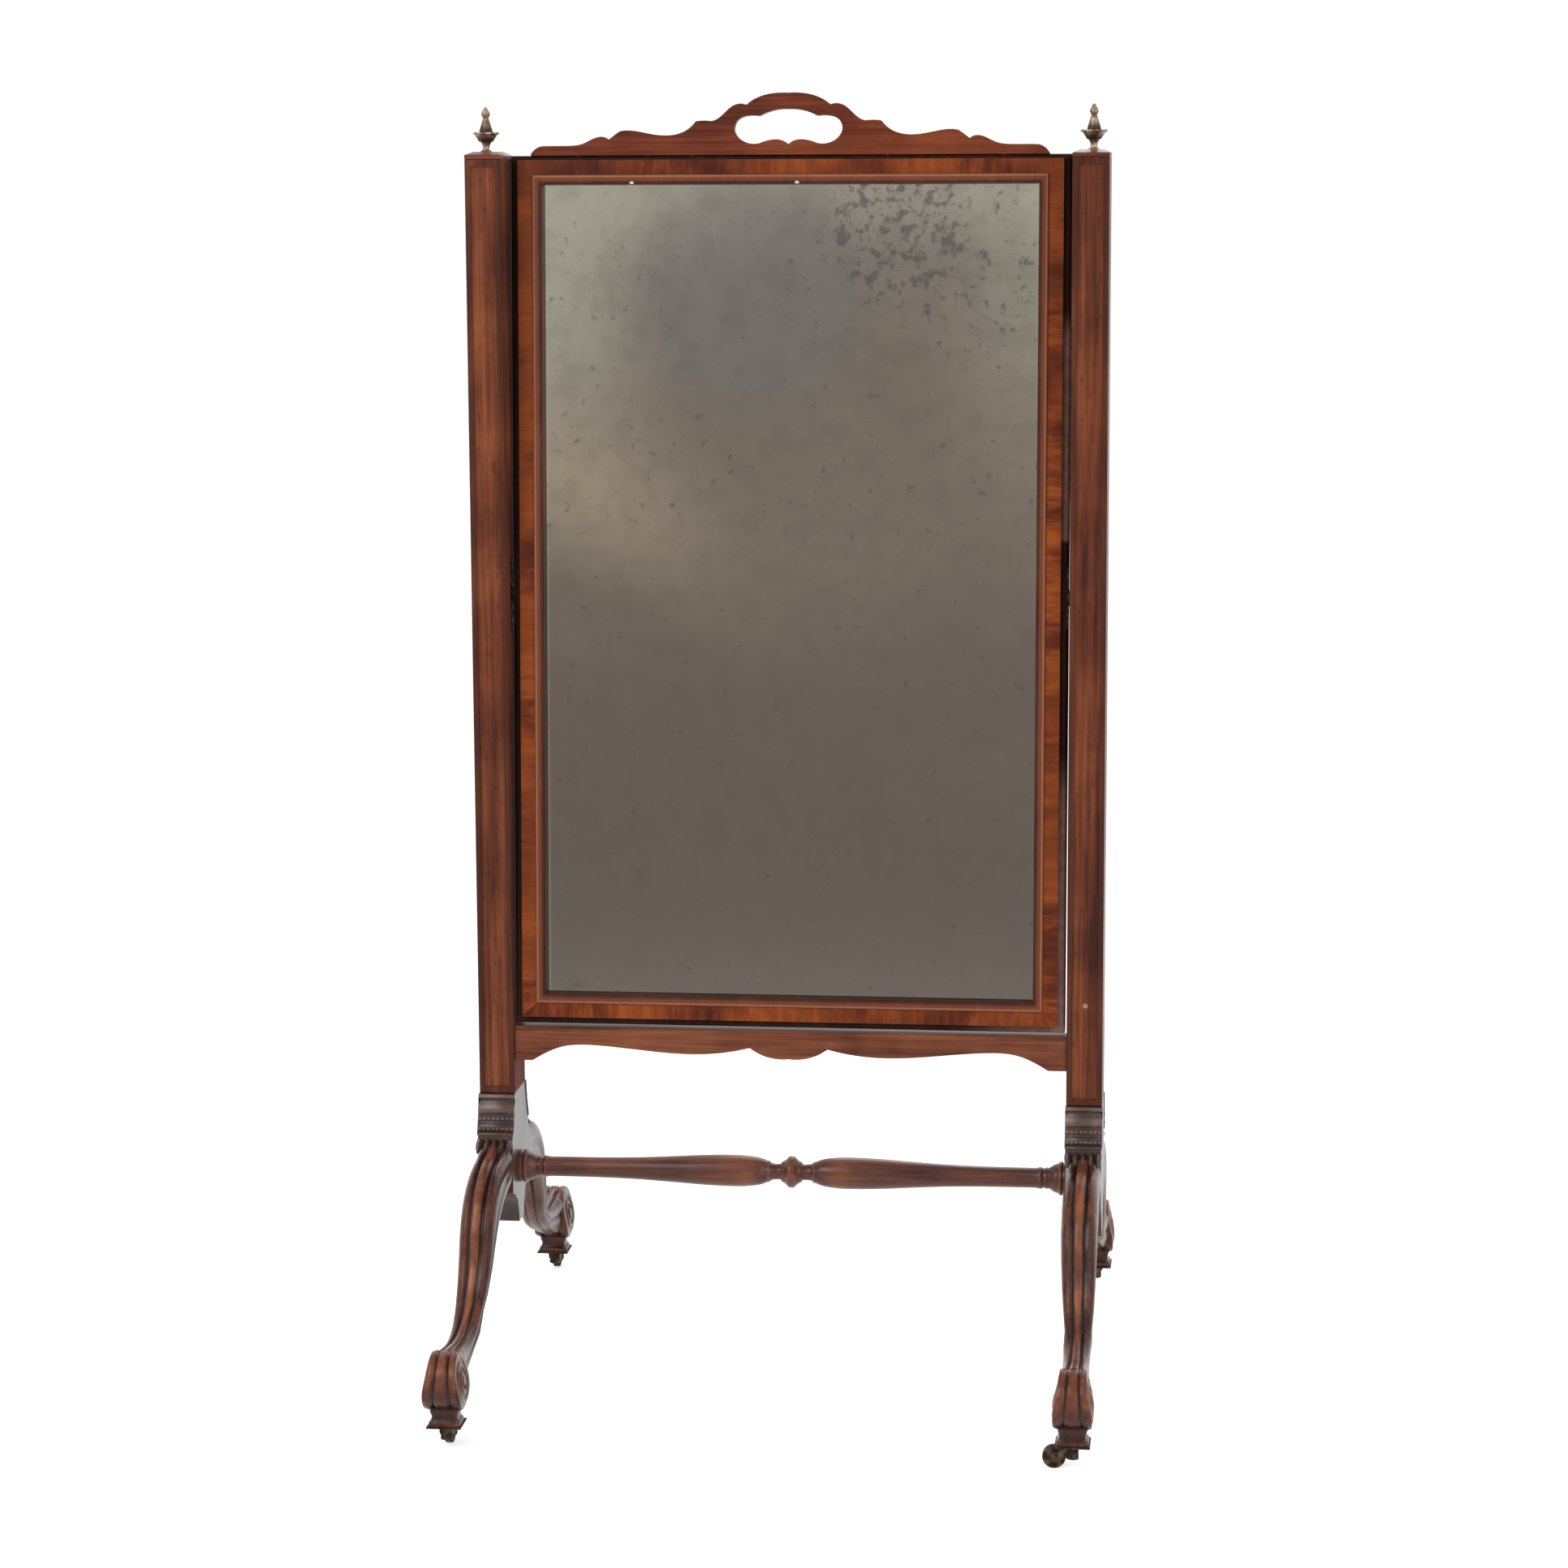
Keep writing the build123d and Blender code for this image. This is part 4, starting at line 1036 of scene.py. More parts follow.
@dataclass
class ScrollLeg:
    """One carved leg: a reeded S, a volute on each side of its foot, and a moulded toe."""

    side: Side
    end: End
    middle: float = 339.5
    splay: float = 2.3
    scroll_out: float = 352.5
    scroll_height: float = 76.5
    scroll_radius: float = 32.5
    toe_out: float = 352.2
    stem_rings: int = 120
    stem_around: int = 72
    stem_corner: float = 2 / 2.7
    under_places: int = 600
    pairing: int = 19
    reed_place: float = 0.40
    reed_width: float = 0.11
    reed_depth: float = 0.17
    roll_around: int = 96
    coil_pitch: float = 10.5
    eye: float = 5.0
    toe_around: int = 64
    toe_corner: float = 0.32
    top_line: tuple[Point, ...] = (
        (53.0, 269.0), (80.0, 262.0), (112.0, 257.0), (142.0, 246.0), (167.0, 227.0), (183.0, 200.0),
        (191.0, 172.0), (202.0, 147.0), (217.0, 127.0), (236.0, 112.5), (260.0, 104.5), (285.0, 102.0),
        (308.0, 103.5), (329.0, 106.5), (343.0, 108.2))
    under_line: tuple[Point, ...] = (
        (53.0, 209.0), (80.0, 205.0), (104.0, 197.0), (126.0, 183.0), (146.0, 164.0), (165.0, 142.0),
        (184.0, 119.0), (205.0, 101.0), (230.0, 87.0), (258.0, 76.0), (285.0, 66.0), (312.0, 56.0))
    plan: tuple[tuple[float, float, float], ...] = (
        (53.0, 41.0, 0.0), (150.0, 42.0, 0.0), (180.0, 41.5, 0.4), (202.0, 37.5, 0.9), (217.0, 34.5, 1.3),
        (236.0, 31.0, 1.7), (260.0, 29.5, 2.0), (285.0, 29.5, 2.3), (302.0, 30.0, 2.3), (318.0, 32.0, 2.3),
        (334.0, 35.0, 2.3), (400.0, 38.0, 2.3))
    front: tuple[tuple[float, float, float], ...] = (
        (300.0, 41.0, 0.0), (230.0, 42.0, 0.0), (205.0, 41.5, 0.1), (178.0, 40.0, 0.5), (150.0, 37.5, 1.0),
        (128.0, 34.5, 1.7), (112.0, 31.0, 2.3), (98.0, 32.0, 2.3), (84.0, 36.0, 2.3), (0.0, 38.0, 2.3))
    scroll_front: tuple[tuple[float, float], ...] = (
        (112.0, 29.0), (106.0, 30.5), (99.0, 32.0), (91.0, 34.0), (84.0, 36.5), (77.0, 39.5), (70.0, 42.0),
        (62.0, 43.5), (52.0, 43.0), (46.0, 40.5), (40.0, 38.0))
    toe_outline: tuple[Point, ...] = (
        (18.5, 28.5), (18.5, 32.0), (17.6, 33.4), (15.9, 34.4), (15.4, 37.0), (15.8, 40.0), (17.2, 43.0),
        (17.4, 46.0), (16.4, 49.0), (14.0, 52.0), (11.0, 54.0))

    def build(self) -> Shell:
        """Shape the leg as it stands towards the back, before it is turned to its own corner.

        Returns:
            The skins of the leg.
        """
        shell = Shell()
        shell.tube(*self.stem())
        shell.tube(*self.scroll())
        shell.tube(*self.toe())
        return shell

    def stem(self) -> tuple[np.ndarray, np.ndarray]:
        """The S of the leg, with its reeds.

        Returns:
            The rings of points and their relief.
        """
        top = smooth_line(self.top_line, self.stem_rings)
        places = smooth_line(self.under_line, self.under_places)
        nearest = [int(np.argmin(np.linalg.norm(places - place, axis=1))) for place in top]
        nearest = np.maximum.accumulate(np.array(nearest, float))
        padded = np.pad(nearest, self.pairing // 2, mode="reflect", reflect_type="odd")
        eased = np.convolve(padded, np.ones(self.pairing) / self.pairing, mode="valid")
        eased = eased.clip(0, self.under_places - 1)
        counted = np.arange(self.under_places)
        under = np.stack([np.interp(eased, counted, column) for column in places.T], axis=1)
        wide, high = squared(np.linspace(0.0, math.tau, self.stem_around, endpoint=False), self.stem_corner)
        faced = np.clip((np.abs(high) - 0.35) / 0.4, 0, 1)
        side_cut = 0.8 * np.exp(-((high / 0.17) ** 2)) * np.clip((np.abs(wide) - 0.6) / 0.3, 0, 1)
        cut = np.exp(-(((np.abs(wide) - self.reed_place) / self.reed_width) ** 2)) * faced + side_cut
        fade = np.clip(np.linspace(0, 1, self.stem_rings) * 14 - 0.3, 0, 1)
        rings, relief = [], []
        for step in range(self.stem_rings):
            centre, reach = (top[step] + under[step]) / 2, (top[step] - under[step]) / 2
            share = 1.0 - self.reed_depth * fade[step] * cut
            out = centre[0] + reach[0] * high * share
            up = centre[1] + reach[1] * high * share
            left, right = self.faces_at(out, up)
            rings.append(np.stack([(left + right) / 2 + (right - left) / 2 * wide * share, out, up], axis=1))
            # The relief paints a highlight down the crown and shade on the flanks and in the reeds.
            crown = np.exp(-((wide / 0.22) ** 2)) * (high > 0)
            flank_shade = np.clip((np.abs(wide) - 0.62) / 0.38, 0, 1) * 0.34
            relief.append(np.clip(0.76 + 0.24 * crown - flank_shade - 0.8 * cut * fade[step], 0, 1))
        return np.array(rings), np.array(relief)

    def faces_at(self, out: np.ndarray, up: np.ndarray) -> tuple[np.ndarray, np.ndarray]:
        """Find the leg's side faces at places on it.

        Args:
            out: distances out from the post.
            up: heights.

        Returns:
            The left and right faces' X.
        """
        bounds = []
        for table, place in ((self.plan, out), (self.front, up)):
            width, shift = lerp_table(table, 1)(place), lerp_table(table, 2)(place) * self.outward
            bounds.append((shift - width / 2, shift + width / 2))
        return np.maximum(bounds[0][0], bounds[1][0]), np.minimum(bounds[0][1], bounds[1][1])

    @property
    def outward(self) -> int:
        """Which way the foot stands out, before the leg is turned to its corner."""
        return self.side.value * self.end.value

    def scroll(self) -> tuple[np.ndarray, np.ndarray]:
        """The rolled foot, with a volute cut in each side.

        Returns:
            The rings of points and their relief.
        """
        around = self.roll_around
        angle = np.linspace(0.0, math.tau, around, endpoint=False)
        half_width = lerp_table([(z, width / 2) for z, width in self.scroll_front], 1)
        radius = self.scroll_radius
        face = np.linspace(0.6, radius - 1.2, 22)
        across = np.linspace(-1.0, 1.0, 25)[1:-1]
        profile = [(-1.0, r) for r in face] + [(u, radius) for u in across] + [(1.0, r) for r in face[::-1]]
        rings, relief = [], []
        for place, reach in profile:
            if abs(place) == 1.0:
                ridge = 0.5 + 0.5 * np.cos(math.tau * reach / self.coil_pitch - angle * place)
                limit = np.interp(reach, [0, 8, 14, 23, 29], [2.2, 2.0, 1.4, 0.9, 0.0])
                eye = reach < self.eye
                coiled = ridge * limit - (1 - ridge) * min(limit, 1.0) * 1.3
                raised = np.full(around, limit) if eye else coiled
                distance = np.full(around, reach)
                # Painted highlight on the coil's ridge and painted shade in its groove.
                tone = np.ones(around) * 0.8 if eye else 0.15 + 0.75 * ridge
            else:
                cut = math.exp(-(((abs(place) - 0.42) / 0.10) ** 2))
                edge = max(0.0, abs(place) - 0.82) / 0.18
                distance = np.full(around, reach - 2.0 * cut - 2.2 * edge**2)
                raised = np.zeros(around)
                # Painted shade in the cut and on the underside of the roll.
                tone = (0.9 - 0.75 * cut) * (0.45 + 0.55 * np.clip((np.sin(angle) + 0.75) / 0.8, 0, 1))
            out = self.scroll_out + distance * np.cos(angle)
            up = self.scroll_height + distance * np.sin(angle)
            side = self.outward * self.splay + place * (half_width(up) - 0.4) + np.sign(place) * raised
            rings.append(np.stack([side, out, up], axis=1))
            relief.append(tone)
        return np.array(rings), np.clip(np.array(relief), 0, 1)

    def toe(self) -> tuple[np.ndarray, np.ndarray]:
        """The square toe with its moulded foot.

        Returns:
            The rings of points and their relief.
        """
        angle = np.linspace(0.0, math.tau, self.toe_around, endpoint=False)
        wide, deep = squared(angle, self.toe_corner)
        size = math.sqrt(2) ** 0.16
        rings, relief = [], []
        for half, height in self.toe_outline:
            lobes = 1.0 - 0.055 * np.abs(np.sin(angle * 6)) * (38 < height < 52)
            spread = half / size
            level = np.full(self.toe_around, height)
            rings.append(np.stack([self.outward * self.splay + wide * spread * lobes,
                                   self.toe_out + deep * (spread - 0.9) * lobes, level], axis=1))
            # Painted shade in the coves, where the toe narrows.
            relief.append(np.clip((half - 13.5) / 9.0 * lobes, 0.08, 0.55))
        return np.array(rings), np.array(relief)

    def place(self, finish: bpy.types.Material) -> None:
        """Set the leg at its corner and dress it.

        Args:
            finish: its wood.
        """
        shell = self.build()
        turn = 1.0 if self.end is End.REAR else -1.0
        for points in shell.points:
            points[:, :2] *= turn
            points[:, 0] += self.side.value * self.middle
        node = f"leg_{self.end.word}_{self.side.word}"
        seat(shell.made(f"{node}_carved"), finish, "stand", node)


@dataclass
class CarvedBands:
    """The mouldings, bead rows and leaves on the two faces of a leg block."""

    side: Side
    inner: float = 318.2
    outer: float = 360.8
    post_foot: float = 322.0
    joint_top: float = 272.0
    half_top: float = 36.0
    half_low: float = 53.0
    bead_rows: tuple[float, ...] = (294.0, 283.0)
    bead_radius: float = 3.1
    beads: int = 8
    leaves: int = 5
    leaf_top: float = 271.5
    leaf_half: float = 4.1
    leaf_long: float = 27.0
    leaf_turn: float = -66.0
    profile: tuple[Point, ...] = (
        (0.2, 322.0), (2.6, 321.7), (3.8, 320.4), (4.2, 318.9), (3.7, 317.4), (2.2, 316.6), (1.2, 315.6),
        (1.2, 313.4), (1.6, 311.4), (2.6, 309.4), (3.4, 306.2), (3.4, 303.2), (2.5, 300.6), (1.2, 299.4),
        (0.9, 298.0), (0.9, 288.6), (1.7, 288.4), (0.9, 288.2), (0.9, 279.2), (1.9, 278.6), (2.4, 277.2),
        (1.8, 275.9), (0.2, 275.4))

    def half_depth(self, height: float) -> float:
        """Half the block's depth at a height."""
        share = (self.post_foot - height) / (self.post_foot - self.joint_top)
        return self.half_top + (self.half_low - self.half_top) * min(1.0, max(0.0, share)) ** 1.25

    def mouldings(self, end: End) -> bpy.types.Object:
        """The mouldings of one face.

        Args:
            end: the face.

        Returns:
            The mouldings as an object.
        """
        outer_points = [(self.half_depth(z) + rise, z) for rise, z in self.profile]
        inner_points = [(self.half_depth(z) - 1.5, z) for _, z in reversed(self.profile)]
        ring = np.array(outer_points + inner_points)
        depth = np.array([rise for rise, _ in self.profile] + [0.0] * len(inner_points))
        rings, relief = [], []
        for x in (self.inner, self.inner + 0.8, self.outer - 0.8, self.outer):
            inset = 0.6 if x in (self.inner, self.outer) else 0.0
            rings.append(np.stack([np.full(len(ring), x * self.side.value), end.value * (ring[:, 0] - inset),
                                   ring[:, 1]], axis=1))
            # Painted shade in the recessed parts and a painted highlight on the raised ones.
            relief.append(np.clip(0.12 + depth / 3.4, 0, 1))
        return skin(f"mouldings_{end.word}_{self.side.word}", np.array(rings), np.array(relief), 38.0)

    def bead(self) -> bpy.types.Object:
        """One bead, a little flattened.

        Returns:
            The bead.
        """
        outline = [(self.bead_radius * math.sin(a), self.bead_radius * 0.9 * math.cos(a))
                   for a in np.linspace(0.12, math.pi - 0.12, 9)]
        rings, _ = turned(outline, 14)
        # The beads carry a painted highlight all over.
        return skin("bead", rings, np.full(rings.shape[:2], 0.95), 80.0)

    def leaf(self) -> bpy.types.Object:
        """One hanging leaf with a raised rib, drawn with its face towards the front.

        Returns:
            The leaf.
        """
        rows, across = 14, 9
        rings, relief = [], []
        for row in range(rows):
            share = row / (rows - 1)
            taper = math.sin(math.pi * (0.30 + 0.70 * share)) ** 0.75 if share < 0.999 else 0.08
            half = self.leaf_half * taper
            lift = 1.9 * math.sin(math.pi * min(1.0, 0.15 + share * 0.85)) + 0.5
            u = np.linspace(-1, 1, across)
            crown = lift * (1 - np.abs(u) ** 1.6) + 0.5 * np.exp(-((u / 0.22) ** 2))
            fall = np.full(across, -self.leaf_long * share)
            face = np.stack([u * half, -crown, fall], axis=1)
            back = np.stack([u[::-1] * half, np.full(across, 1.5), fall], axis=1)
            rings.append(np.concatenate([face, back]))
            # Painted highlight along the rib, and painted shade towards the leaf's edges and on its back.
            relief.append(np.concatenate([0.25 + 0.75 * (1 - np.abs(u) ** 1.2), np.full(across, 0.1)]))
        return skin("leaf", np.array(rings), np.array(relief), 60.0)

    def place(self, finish: bpy.types.Material, row: Rule) -> None:
        """Build both faces, join them and set them on the block.

        Args:
            finish: the wood.
            row: the rule that sets shapes in a row.
        """
        bead, leaf = self.bead(), self.leaf()
        parts = []
        span = self.outer - self.inner
        for end in End:
            parts.append(self.mouldings(end))
            for height in self.bead_rows:
                step = span / self.beads
                depth = self.half_depth(height) + 0.9
                parts.append(row.apply("beads", {
                    "Shape": bead, "Count": self.beads, "Turn": (0.0, 0.0, 0.0), "Material": finish,
                    "Start": (self.left_edge(step) * MM, end.value * depth * MM, height * MM),
                    "Step": (step * MM, 0.0, 0.0)}))
            step = span / self.leaves
            parts.append(row.apply("leaves", {
                "Shape": leaf, "Count": self.leaves, "Material": finish,
                "Turn": (math.radians(self.leaf_turn), 0.0, math.pi if end is End.REAR else 0.0),
                "Start": (self.left_edge(step) * MM, end.value * (self.half_low - 1.5) * MM,
                          self.leaf_top * MM),
                "Step": (step * MM, 0.0, 0.0)}))
        for shape in (bead, leaf):
            bpy.data.objects.remove(shape)
        node = f"block_bands_{self.side.word}"
        seat(joined(f"{node}_carved", parts), finish, "stand", node)

    def left_edge(self, step: float) -> float:
        """The place of the first shape in a row with a given step."""
        low = min(self.side.value * self.inner, self.side.value * self.outer)
        return low + step / 2


@dataclass
class FlowerFinial:
    """A brass flower: stem, a ring of open petals, and a bud."""

    side: Side
    middle: float = 341.3
    base: float = 1400.0
    petals: int = 8
    petal_root: Point = (6.4, 12.6)
    petal_run: Point = (8.2, 10.4)
    lobe_depth: float = 0.05
    stem_outline: tuple[Point, ...] = (
        (6.1, -0.4), (6.2, 0.8), (5.0, 1.7), (4.0, 2.6), (3.7, 4.2), (3.9, 6.2), (4.8, 8.6), (6.2, 10.9),
        (8.0, 13.6), (9.6, 16.2), (10.4, 18.6), (9.8, 20.0), (8.0, 21.6), (7.5, 23.4), (6.9, 25.6),
        (6.1, 28.2), (5.2, 31.2), (4.2, 34.2), (3.2, 36.9), (3.1, 37.8), (3.9, 39.2), (4.8, 40.8),
        (4.9, 42.2), (4.4, 44.0), (3.5, 45.6), (2.6, 47.0), (1.9, 48.6), (0.8, 50.0))

    def petal(self) -> bpy.types.Object:
        """One cupped petal with a rolled tip, drawn outward along X.

        Returns:
            The petal.
        """
        rows, across = 12, 9
        rings, relief = [], []
        for row in range(rows):
            share = row / (rows - 1)
            reach = self.petal_root[0] + self.petal_run[0] * share
            dip = 2.6 * max(0.0, share - 0.72) * 3.0
            height = self.petal_root[1] + self.petal_run[1] * share**0.9 - dip
            tip = 1 - 0.55 * max(0, share - 0.8) * 5
            half = 1.9 + 3.6 * math.sin(math.pi * min(1.0, 0.1 + 0.62 * share)) * tip
            u = np.linspace(-1, 1, across)
            cup = 1.5 * (u**2) * share
            face = np.stack([reach - cup, u * half, height + cup * 0.6 - 0.35 * np.cos(u * 9)], axis=1)
            thin = 0.7 + 0.5 * (1 - share)
            back = np.stack([reach + thin - cup[::-1], u[::-1] * half * 0.97,
                             height - thin + cup[::-1] * 0.6 - 0.35 * np.cos(u[::-1] * 9)], axis=1)
            rings.append(np.concatenate([face, back]))
            relief.append(np.repeat([0.35 + 0.65 * share, 0.15 + 0.8 * share], across))
        return skin("petal", np.array(rings), np.array(relief), 60.0)

    def place(self, finish: bpy.types.Material, ring: Rule) -> None:
        """Build the finial and set it on its cap.

        Args:
            finish: the metal.
            ring: the rule that sets shapes in a ring.
        """
        rings, relief = turned(self.stem_outline, 48, lambda angle, height: 1.0 - self.lobe_depth * np.abs(
            np.sin(angle * 4)) * ((height > 8) & (height < 36)))
        rings[:, :, 0] += self.side.value * self.middle
        rings[:, :, 2] += self.base
        tone = np.interp(np.array([z for _, z in self.stem_outline]), [0, 6, 12, 21, 24, 34, 38, 50],
                         [0.8, 0.7, 0.3, 0.1, 0.2, 0.7, 0.4, 1.0])
        stem = skin("stem", rings, relief * tone[:, None], 50.0)
        petal = self.petal()
        flower = ring.apply("flower", {
            "Shape": petal, "Count": self.petals, "Material": finish,
            "Centre": (self.side.value * self.middle * MM, 0.0, self.base * MM)})
        bpy.data.objects.remove(petal)
        node = f"finial_{self.side.word}"
        seat(joined(f"{node}_cast", [stem, flower]), finish, "stand", node)


@dataclass
class Stretcher:
    """The turned stretcher, with its knop, necks, swelling halves, reeds and bells."""

    height: float = 227.5
    around: int = 72
    half: tuple[Point, ...] = (
        (0.0, 18.4), (2.6, 18.4), (3.4, 18.0), (4.4, 16.8), (6.0, 15.2), (7.8, 13.6), (9.4, 12.6),
        (11.0, 12.0), (12.0, 11.0), (12.6, 9.6), (14.0, 9.2), (18.0, 9.2), (22.0, 9.6), (24.5, 10.8),
        (26.0, 12.4), (27.0, 12.8), (28.2, 12.4), (29.0, 12.8), (31.0, 13.8), (35.0, 15.2), (40.0, 16.4),
        (47.0, 17.4), (55.0, 18.1), (63.0, 18.4), (72.0, 18.4), (81.0, 18.3), (90.0, 18.0), (100.0, 17.6),
        (110.0, 17.1), (120.0, 16.5), (130.0, 15.8), (140.0, 15.2), (150.0, 14.6), (162.0, 13.9),
        (175.0, 13.2), (187.0, 12.7), (200.0, 12.3), (220.0, 11.9), (240.0, 11.7), (262.0, 11.6),
        (284.0, 11.6), (287.0, 12.4), (289.0, 12.6), (290.6, 12.3), (291.6, 11.4), (293.2, 11.4),
        (295.0, 12.2), (296.6, 12.4), (298.0, 12.0), (299.4, 12.4), (301.5, 13.8), (304.0, 15.5),
        (306.5, 16.6), (309.0, 17.2), (309.8, 17.9), (310.4, 19.0), (311.4, 19.6), (313.4, 19.6),
        (314.4, 19.0), (315.0, 18.2), (316.2, 18.6), (319.0, 18.8))

    def place(self, finish: bpy.types.Material) -> None:
        """Turn the stretcher and set it between the blocks.

        Args:
            finish: its wood.
        """
        outline = [(r, -x) for x, r in reversed(self.half[1:])] + [(r, x) for x, r in self.half]
        rings, _ = turned(outline, self.around)
        along = np.array([z for _, z in outline])
        radii = np.array([r for r, _ in outline])
        # Painted shade in the coves and a painted highlight on the beads and the knop.
        smooth = np.convolve(np.pad(radii, 3, mode="edge"), np.ones(7) / 7, mode="valid")
        tone = np.clip(0.72 + (radii - smooth) * 0.22, 0.0, 1.0)
        tone[np.abs(along) < 4] = 0.85
        laid = np.stack([rings[:, :, 2], rings[:, :, 0], rings[:, :, 1] + self.height], axis=2)
        made = skin("stretcher_turned", laid, np.repeat(tone[:, None], self.around, axis=1), 34.0)
        seat(made, finish, "stand", "stretcher")


@dataclass
class Stand:
    """Everything that stands still."""

    nodes: dict[str, bpy.types.Object]
    edge: float = 0.9

    def build(self) -> None:
        """Dress the plain pieces and build the carved and turned ones."""
        post_wood = PostWood("post_wood", paint(58, 25, 15), paint(106, 53, 31), paint(142, 80, 48), run=6.0,
                             figure=2.0, gloss=0.36).material()
        cap_wood = Wood("cap_wood", paint(60, 28, 20), paint(104, 54, 38), paint(136, 78, 54),
                        grain=Grain.ACROSS).material()
        rail_wood = Wood("rail_wood", paint(62, 28, 16), paint(114, 62, 40), paint(146, 90, 60),
                         grain=Grain.ACROSS, figure=2.0, gloss=0.32).material()
        block_wood = Wood("block_wood", paint(28, 14, 11), paint(58, 36, 29), paint(92, 62, 51), gloss=0.30,
                          coat=0.12, shine=0.36).material()
        # The bands' greyish ridge colour is a painted highlight.
        band_wood = CarvedWood("band_wood", paint(26, 13, 10), paint(54, 33, 26), paint(90, 60, 49),
                               gloss=0.30, coat=0.2, shine=0.34, ridge=paint(136, 108, 96)).material()
        leg_wood = CarvedWood("leg_wood", paint(40, 16, 10), paint(86, 43, 28), paint(130, 72, 45),
                              figure=2.0, gloss=0.28, coat=0.12, shine=0.2).material()
        turned_wood = CarvedWood("turned_wood", paint(46, 19, 13), paint(92, 50, 36), paint(136, 80, 54),
                                 grain=Grain.ACROSS, figure=1.8, gloss=0.28, coat=0.2, shine=0.2).material()
        brass = OldMetal("finial_brass", paint(62, 50, 38), paint(190, 164, 136), 0.30, 0.46,
                         True).material()
        row, ring = row_rule(), ring_rule()
        for side in Side:
            for start, finish, least in (("post", post_wood, 20.0), ("post_cap", cap_wood, 6.0),
                                         ("leg_block", block_wood, 5.0)):
                self.ease(f"{start}_{side.word}", finish, least)
            CarvedBands(side).place(band_wood, row)
            FlowerFinial(side).place(brass, ring)
            for end in End:
                ScrollLeg(side, end).place(leg_wood)
        self.ease("apron", rail_wood, 0.5)
        Stretcher().place(turned_wood)
        self.metal()

    def ease(self, node: str, finish: bpy.types.Material, least: float) -> None:
        """Stand a polished copy with eased edges in a node's place.

        Args:
            node: the node.
            finish: its wood.
            least: the shortest edge that is eased, in millimetres.
        """
        seat(eased_copy(self.nodes, node, self.edge, least), finish, "stand", node)

    def metal(self) -> None:
        """Dress the fittings."""
        bronze = OldMetal("castor_skin", paint(44, 36, 30), paint(118, 98, 76), 0.36, 0.62).material()
        plate = OldMetal("socket_brass", paint(34, 26, 18), paint(92, 72, 46), 0.42, 0.62).material()
        steel = OldMetal("screw_steel", paint(58, 54, 50), paint(142, 138, 132), 0.34, 0.50).material()
        for name, node in self.nodes.items():
            if name.endswith("_screws"):
                dress(node, steel)
            elif name.startswith("castor_"):
                dress(node, bronze)
            elif name.startswith("pivot_"):
                dress(node, plate)
        LOG.info("fittings dressed")


@dataclass
class TiltingFrame:
    """The glass in its veneered frame, with the cresting."""

    nodes: dict[str, bpy.types.Object]

    def build(self) -> None:
        """Dress every piece of the frame."""
        crest_wood = Wood("crest_wood", paint(56, 21, 10), paint(96, 40, 20), paint(124, 60, 32),
                          grain=Grain.ACROSS, run=7.0, figure=2.2, gloss=0.34).material()
        cresting = eased_copy(self.nodes, "cresting", 1.1, 0.2)
        seat(cresting, crest_wood, "mirror_frame", "cresting")
        core = Wood("frame_wood", paint(48, 22, 14), paint(88, 44, 28), paint(118, 66, 42)).material()
        across = CrossVeneer("side_veneer", paint(58, 18, 6), paint(106, 43, 14), paint(156, 76, 26),
                             grain=Grain.ACROSS, lines=150.0, run=22.0, figure=2.6, gloss=0.36).material()
        upright = CrossVeneer("end_veneer", paint(58, 18, 6), paint(105, 42, 14), paint(152, 75, 27),
                              grain=Grain.UP, lines=130.0, run=22.0, figure=2.6, gloss=0.36).material()
        moulding = MouldingWood("moulding_finish", paint(64, 32, 22), paint(110, 62, 42), paint(140, 90, 66),
                                lines=200.0, run=20.0, figure=1.6, gloss=0.32).material()
        edge = EdgeWood("lipping_finish", paint(22, 10, 8), paint(40, 19, 13), paint(62, 32, 22), gloss=0.42,
                        coat=0.0, shine=0.06).material()
        backing = Wood("back_wood", paint(112, 82, 54), paint(150, 116, 80), paint(178, 146, 106), run=4.0,
                       gloss=0.62, coat=0.0, relief=0.0003).material()
        glass = FoxedGlass().material()
        finishes = (
            (core, ("frame_",)), (across, ("crossbanding_left", "crossbanding_right")),
            (upright, ("crossbanding_top", "crossbanding_bottom")), (moulding, ("glass_moulding",)),
            (edge, ("lipping",)), (glass, ("mirror_plate",)),
            (backing, ("backboard_upper", "backboard_lower", "back_batten", "glazing_blocks",
                       "cresting_dowels")))
        for name, node in self.nodes.items():
            for finish, starts in finishes:
                if name.startswith(starts):
                    dress(node, finish)
        LOG.info("tilting frame dressed")


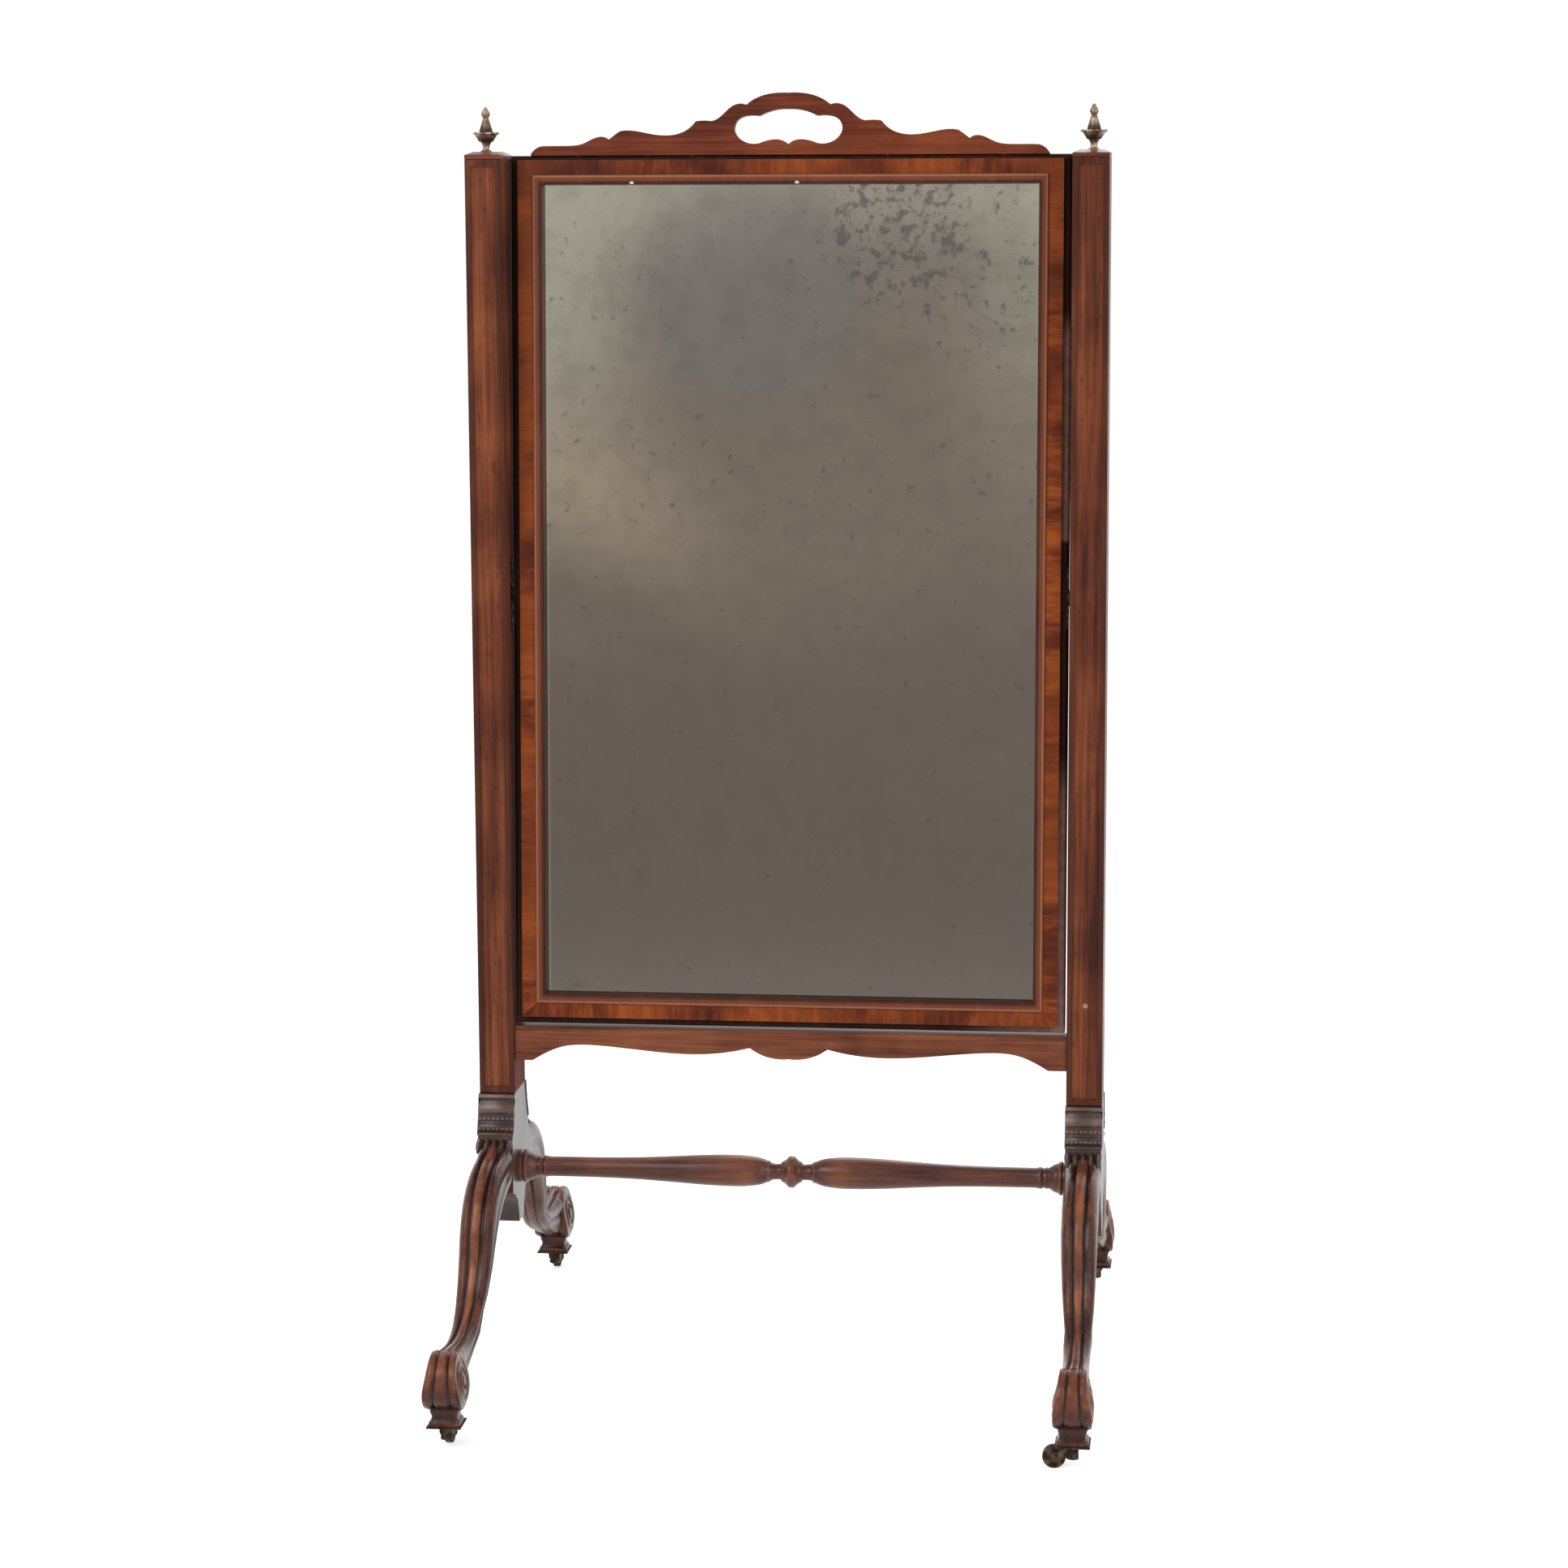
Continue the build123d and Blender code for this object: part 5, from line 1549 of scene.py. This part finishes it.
@dataclass
class Studio:
    """A pale floor, soft light and the camera at the photograph's angle."""

    place: tuple[float, float, float] = (0.50276, -4.49832, 1.40466)
    yaw: float = 6.4675
    pitch: float = 9.0455
    roll: float = 0.2549
    lens: float = 91.95
    sensor: float = 36.0
    ambient: float = 0.60
    floor_size: float = 30.0
    floor_shade: float = 0.86
    floor_glow: float = 0.55
    lamp_aim: tuple[float, float, float] = (0.0, 0.0, 0.75)

    def build(self) -> None:
        """Make the stage."""
        self.camera()
        self.world()
        self.floor()
        self.lamp("key", (-1.9, -2.6, 2.7), 2.0, 62.0)
        self.lamp("fill", (2.4, -2.2, 1.7), 2.2, 26.0)
        self.lamp("back", (0.4, 2.8, 2.4), 2.0, 26.0)
        LOG.info("studio built")

    def camera(self) -> None:
        """Set the camera where the photograph was taken from."""
        yaw, pitch, roll = (math.radians(v) for v in (self.yaw, self.pitch, self.roll))
        ahead = np.array([-math.sin(yaw) * math.cos(pitch), math.cos(yaw) * math.cos(pitch),
                          -math.sin(pitch)])
        right = np.array([math.cos(yaw), math.sin(yaw), 0.0])
        down = np.cross(ahead, right)
        level = right * math.cos(roll) + down * math.sin(roll)
        lower = -right * math.sin(roll) + down * math.cos(roll)
        data = bpy.data.cameras.new("camera")
        data.lens, data.sensor_width, data.sensor_fit = self.lens, self.sensor, "HORIZONTAL"
        made = bpy.data.objects.new("camera", data)
        bpy.context.scene.collection.objects.link(made)
        turn = Matrix([list(row) for row in np.stack([level, -lower, -ahead], axis=1)]).to_4x4()
        made.matrix_world = Matrix.Translation(self.place) @ turn
        bpy.context.scene.camera = made

    @staticmethod
    def seen(graph: Graph) -> Socket:
        """1 for what the camera sees straight, in a reflection or through glass."""
        paths = [graph.node("ShaderNodeLightPath", output=name)
                 for name in ("Is Camera Ray", "Is Glossy Ray", "Is Transmission Ray")]
        return paths[0].most(paths[1]).most(paths[2])

    def world(self) -> None:
        """A white surrounding that lights the object softly."""
        world = bpy.data.worlds.new("studio")
        world.use_nodes = True
        world.node_tree.nodes.clear()
        graph = Graph(world.node_tree)
        strength = self.seen(graph) * (1.0 - self.ambient) + self.ambient
        sky = graph.node("ShaderNodeBackground", None, {"Color": (1.0, 1.0, 1.0, 1.0), "Strength": strength})
        self.end_tree(graph, "ShaderNodeOutputWorld", sky)
        bpy.context.scene.world = world

    @staticmethod
    def end_tree(graph: Graph, kind: str, shader: Socket) -> None:
        """Link a shader to its output node."""
        out = graph.tree.nodes.new(kind)
        graph.tree.links.new(shader.socket, out.inputs["Surface"])

    def floor(self) -> None:
        """A white floor that keeps the object's shadow."""
        half = self.floor_size / 2
        mesh = bpy.data.meshes.new("floor")
        corners = [(x * half, y * half, 0) for x, y in ((-1, -1), (1, -1), (1, 1), (-1, 1))]
        mesh.from_pydata(corners, [], [(0, 1, 2, 3)])
        made = bpy.data.objects.new("floor", mesh)
        bpy.context.scene.collection.objects.link(made)
        finish = bpy.data.materials.new("floor_white")
        finish.use_nodes = True
        finish.node_tree.nodes.clear()
        graph = Graph(finish.node_tree)
        matt = graph.node("ShaderNodeBsdfDiffuse", None, {"Color": (*[self.floor_shade] * 3, 1.0)})
        glow = graph.node("ShaderNodeEmission", None, {
            "Color": (1.0, 1.0, 1.0, 1.0), "Strength": self.seen(graph) * self.floor_glow})
        both = graph.node("ShaderNodeAddShader", None, {0: matt, 1: glow})
        self.end_tree(graph, "ShaderNodeOutputMaterial", both)
        dress(made, finish)

    def lamp(self, name: str, place: tuple[float, float, float], size: float, power: float) -> None:
        """Hang a large soft lamp that faces the object.

        Args:
            name: the lamp's name.
            place: where it hangs.
            size: its side, in metres.
            power: its power, in watts.
        """
        data = bpy.data.lights.new(name, "AREA")
        data.shape, data.size, data.energy = "SQUARE", size, power
        made = bpy.data.objects.new(name, data)
        bpy.context.scene.collection.objects.link(made)
        facing = (Vector(self.lamp_aim) - Vector(place)).to_track_quat("-Z", "Y")
        made.matrix_world = Matrix.Translation(place) @ facing.to_matrix().to_4x4()


def main() -> None:
    """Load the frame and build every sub-assembly in order."""
    logging.basicConfig(level=logging.INFO, format="%(message)s")
    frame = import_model()
    bpy.context.scene.view_settings.view_transform = "Standard"
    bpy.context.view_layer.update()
    Stand(frame["nodes"]).build()
    TiltingFrame(frame["nodes"]).build()
    Studio().build()


if __name__ == "__main__":
    main()
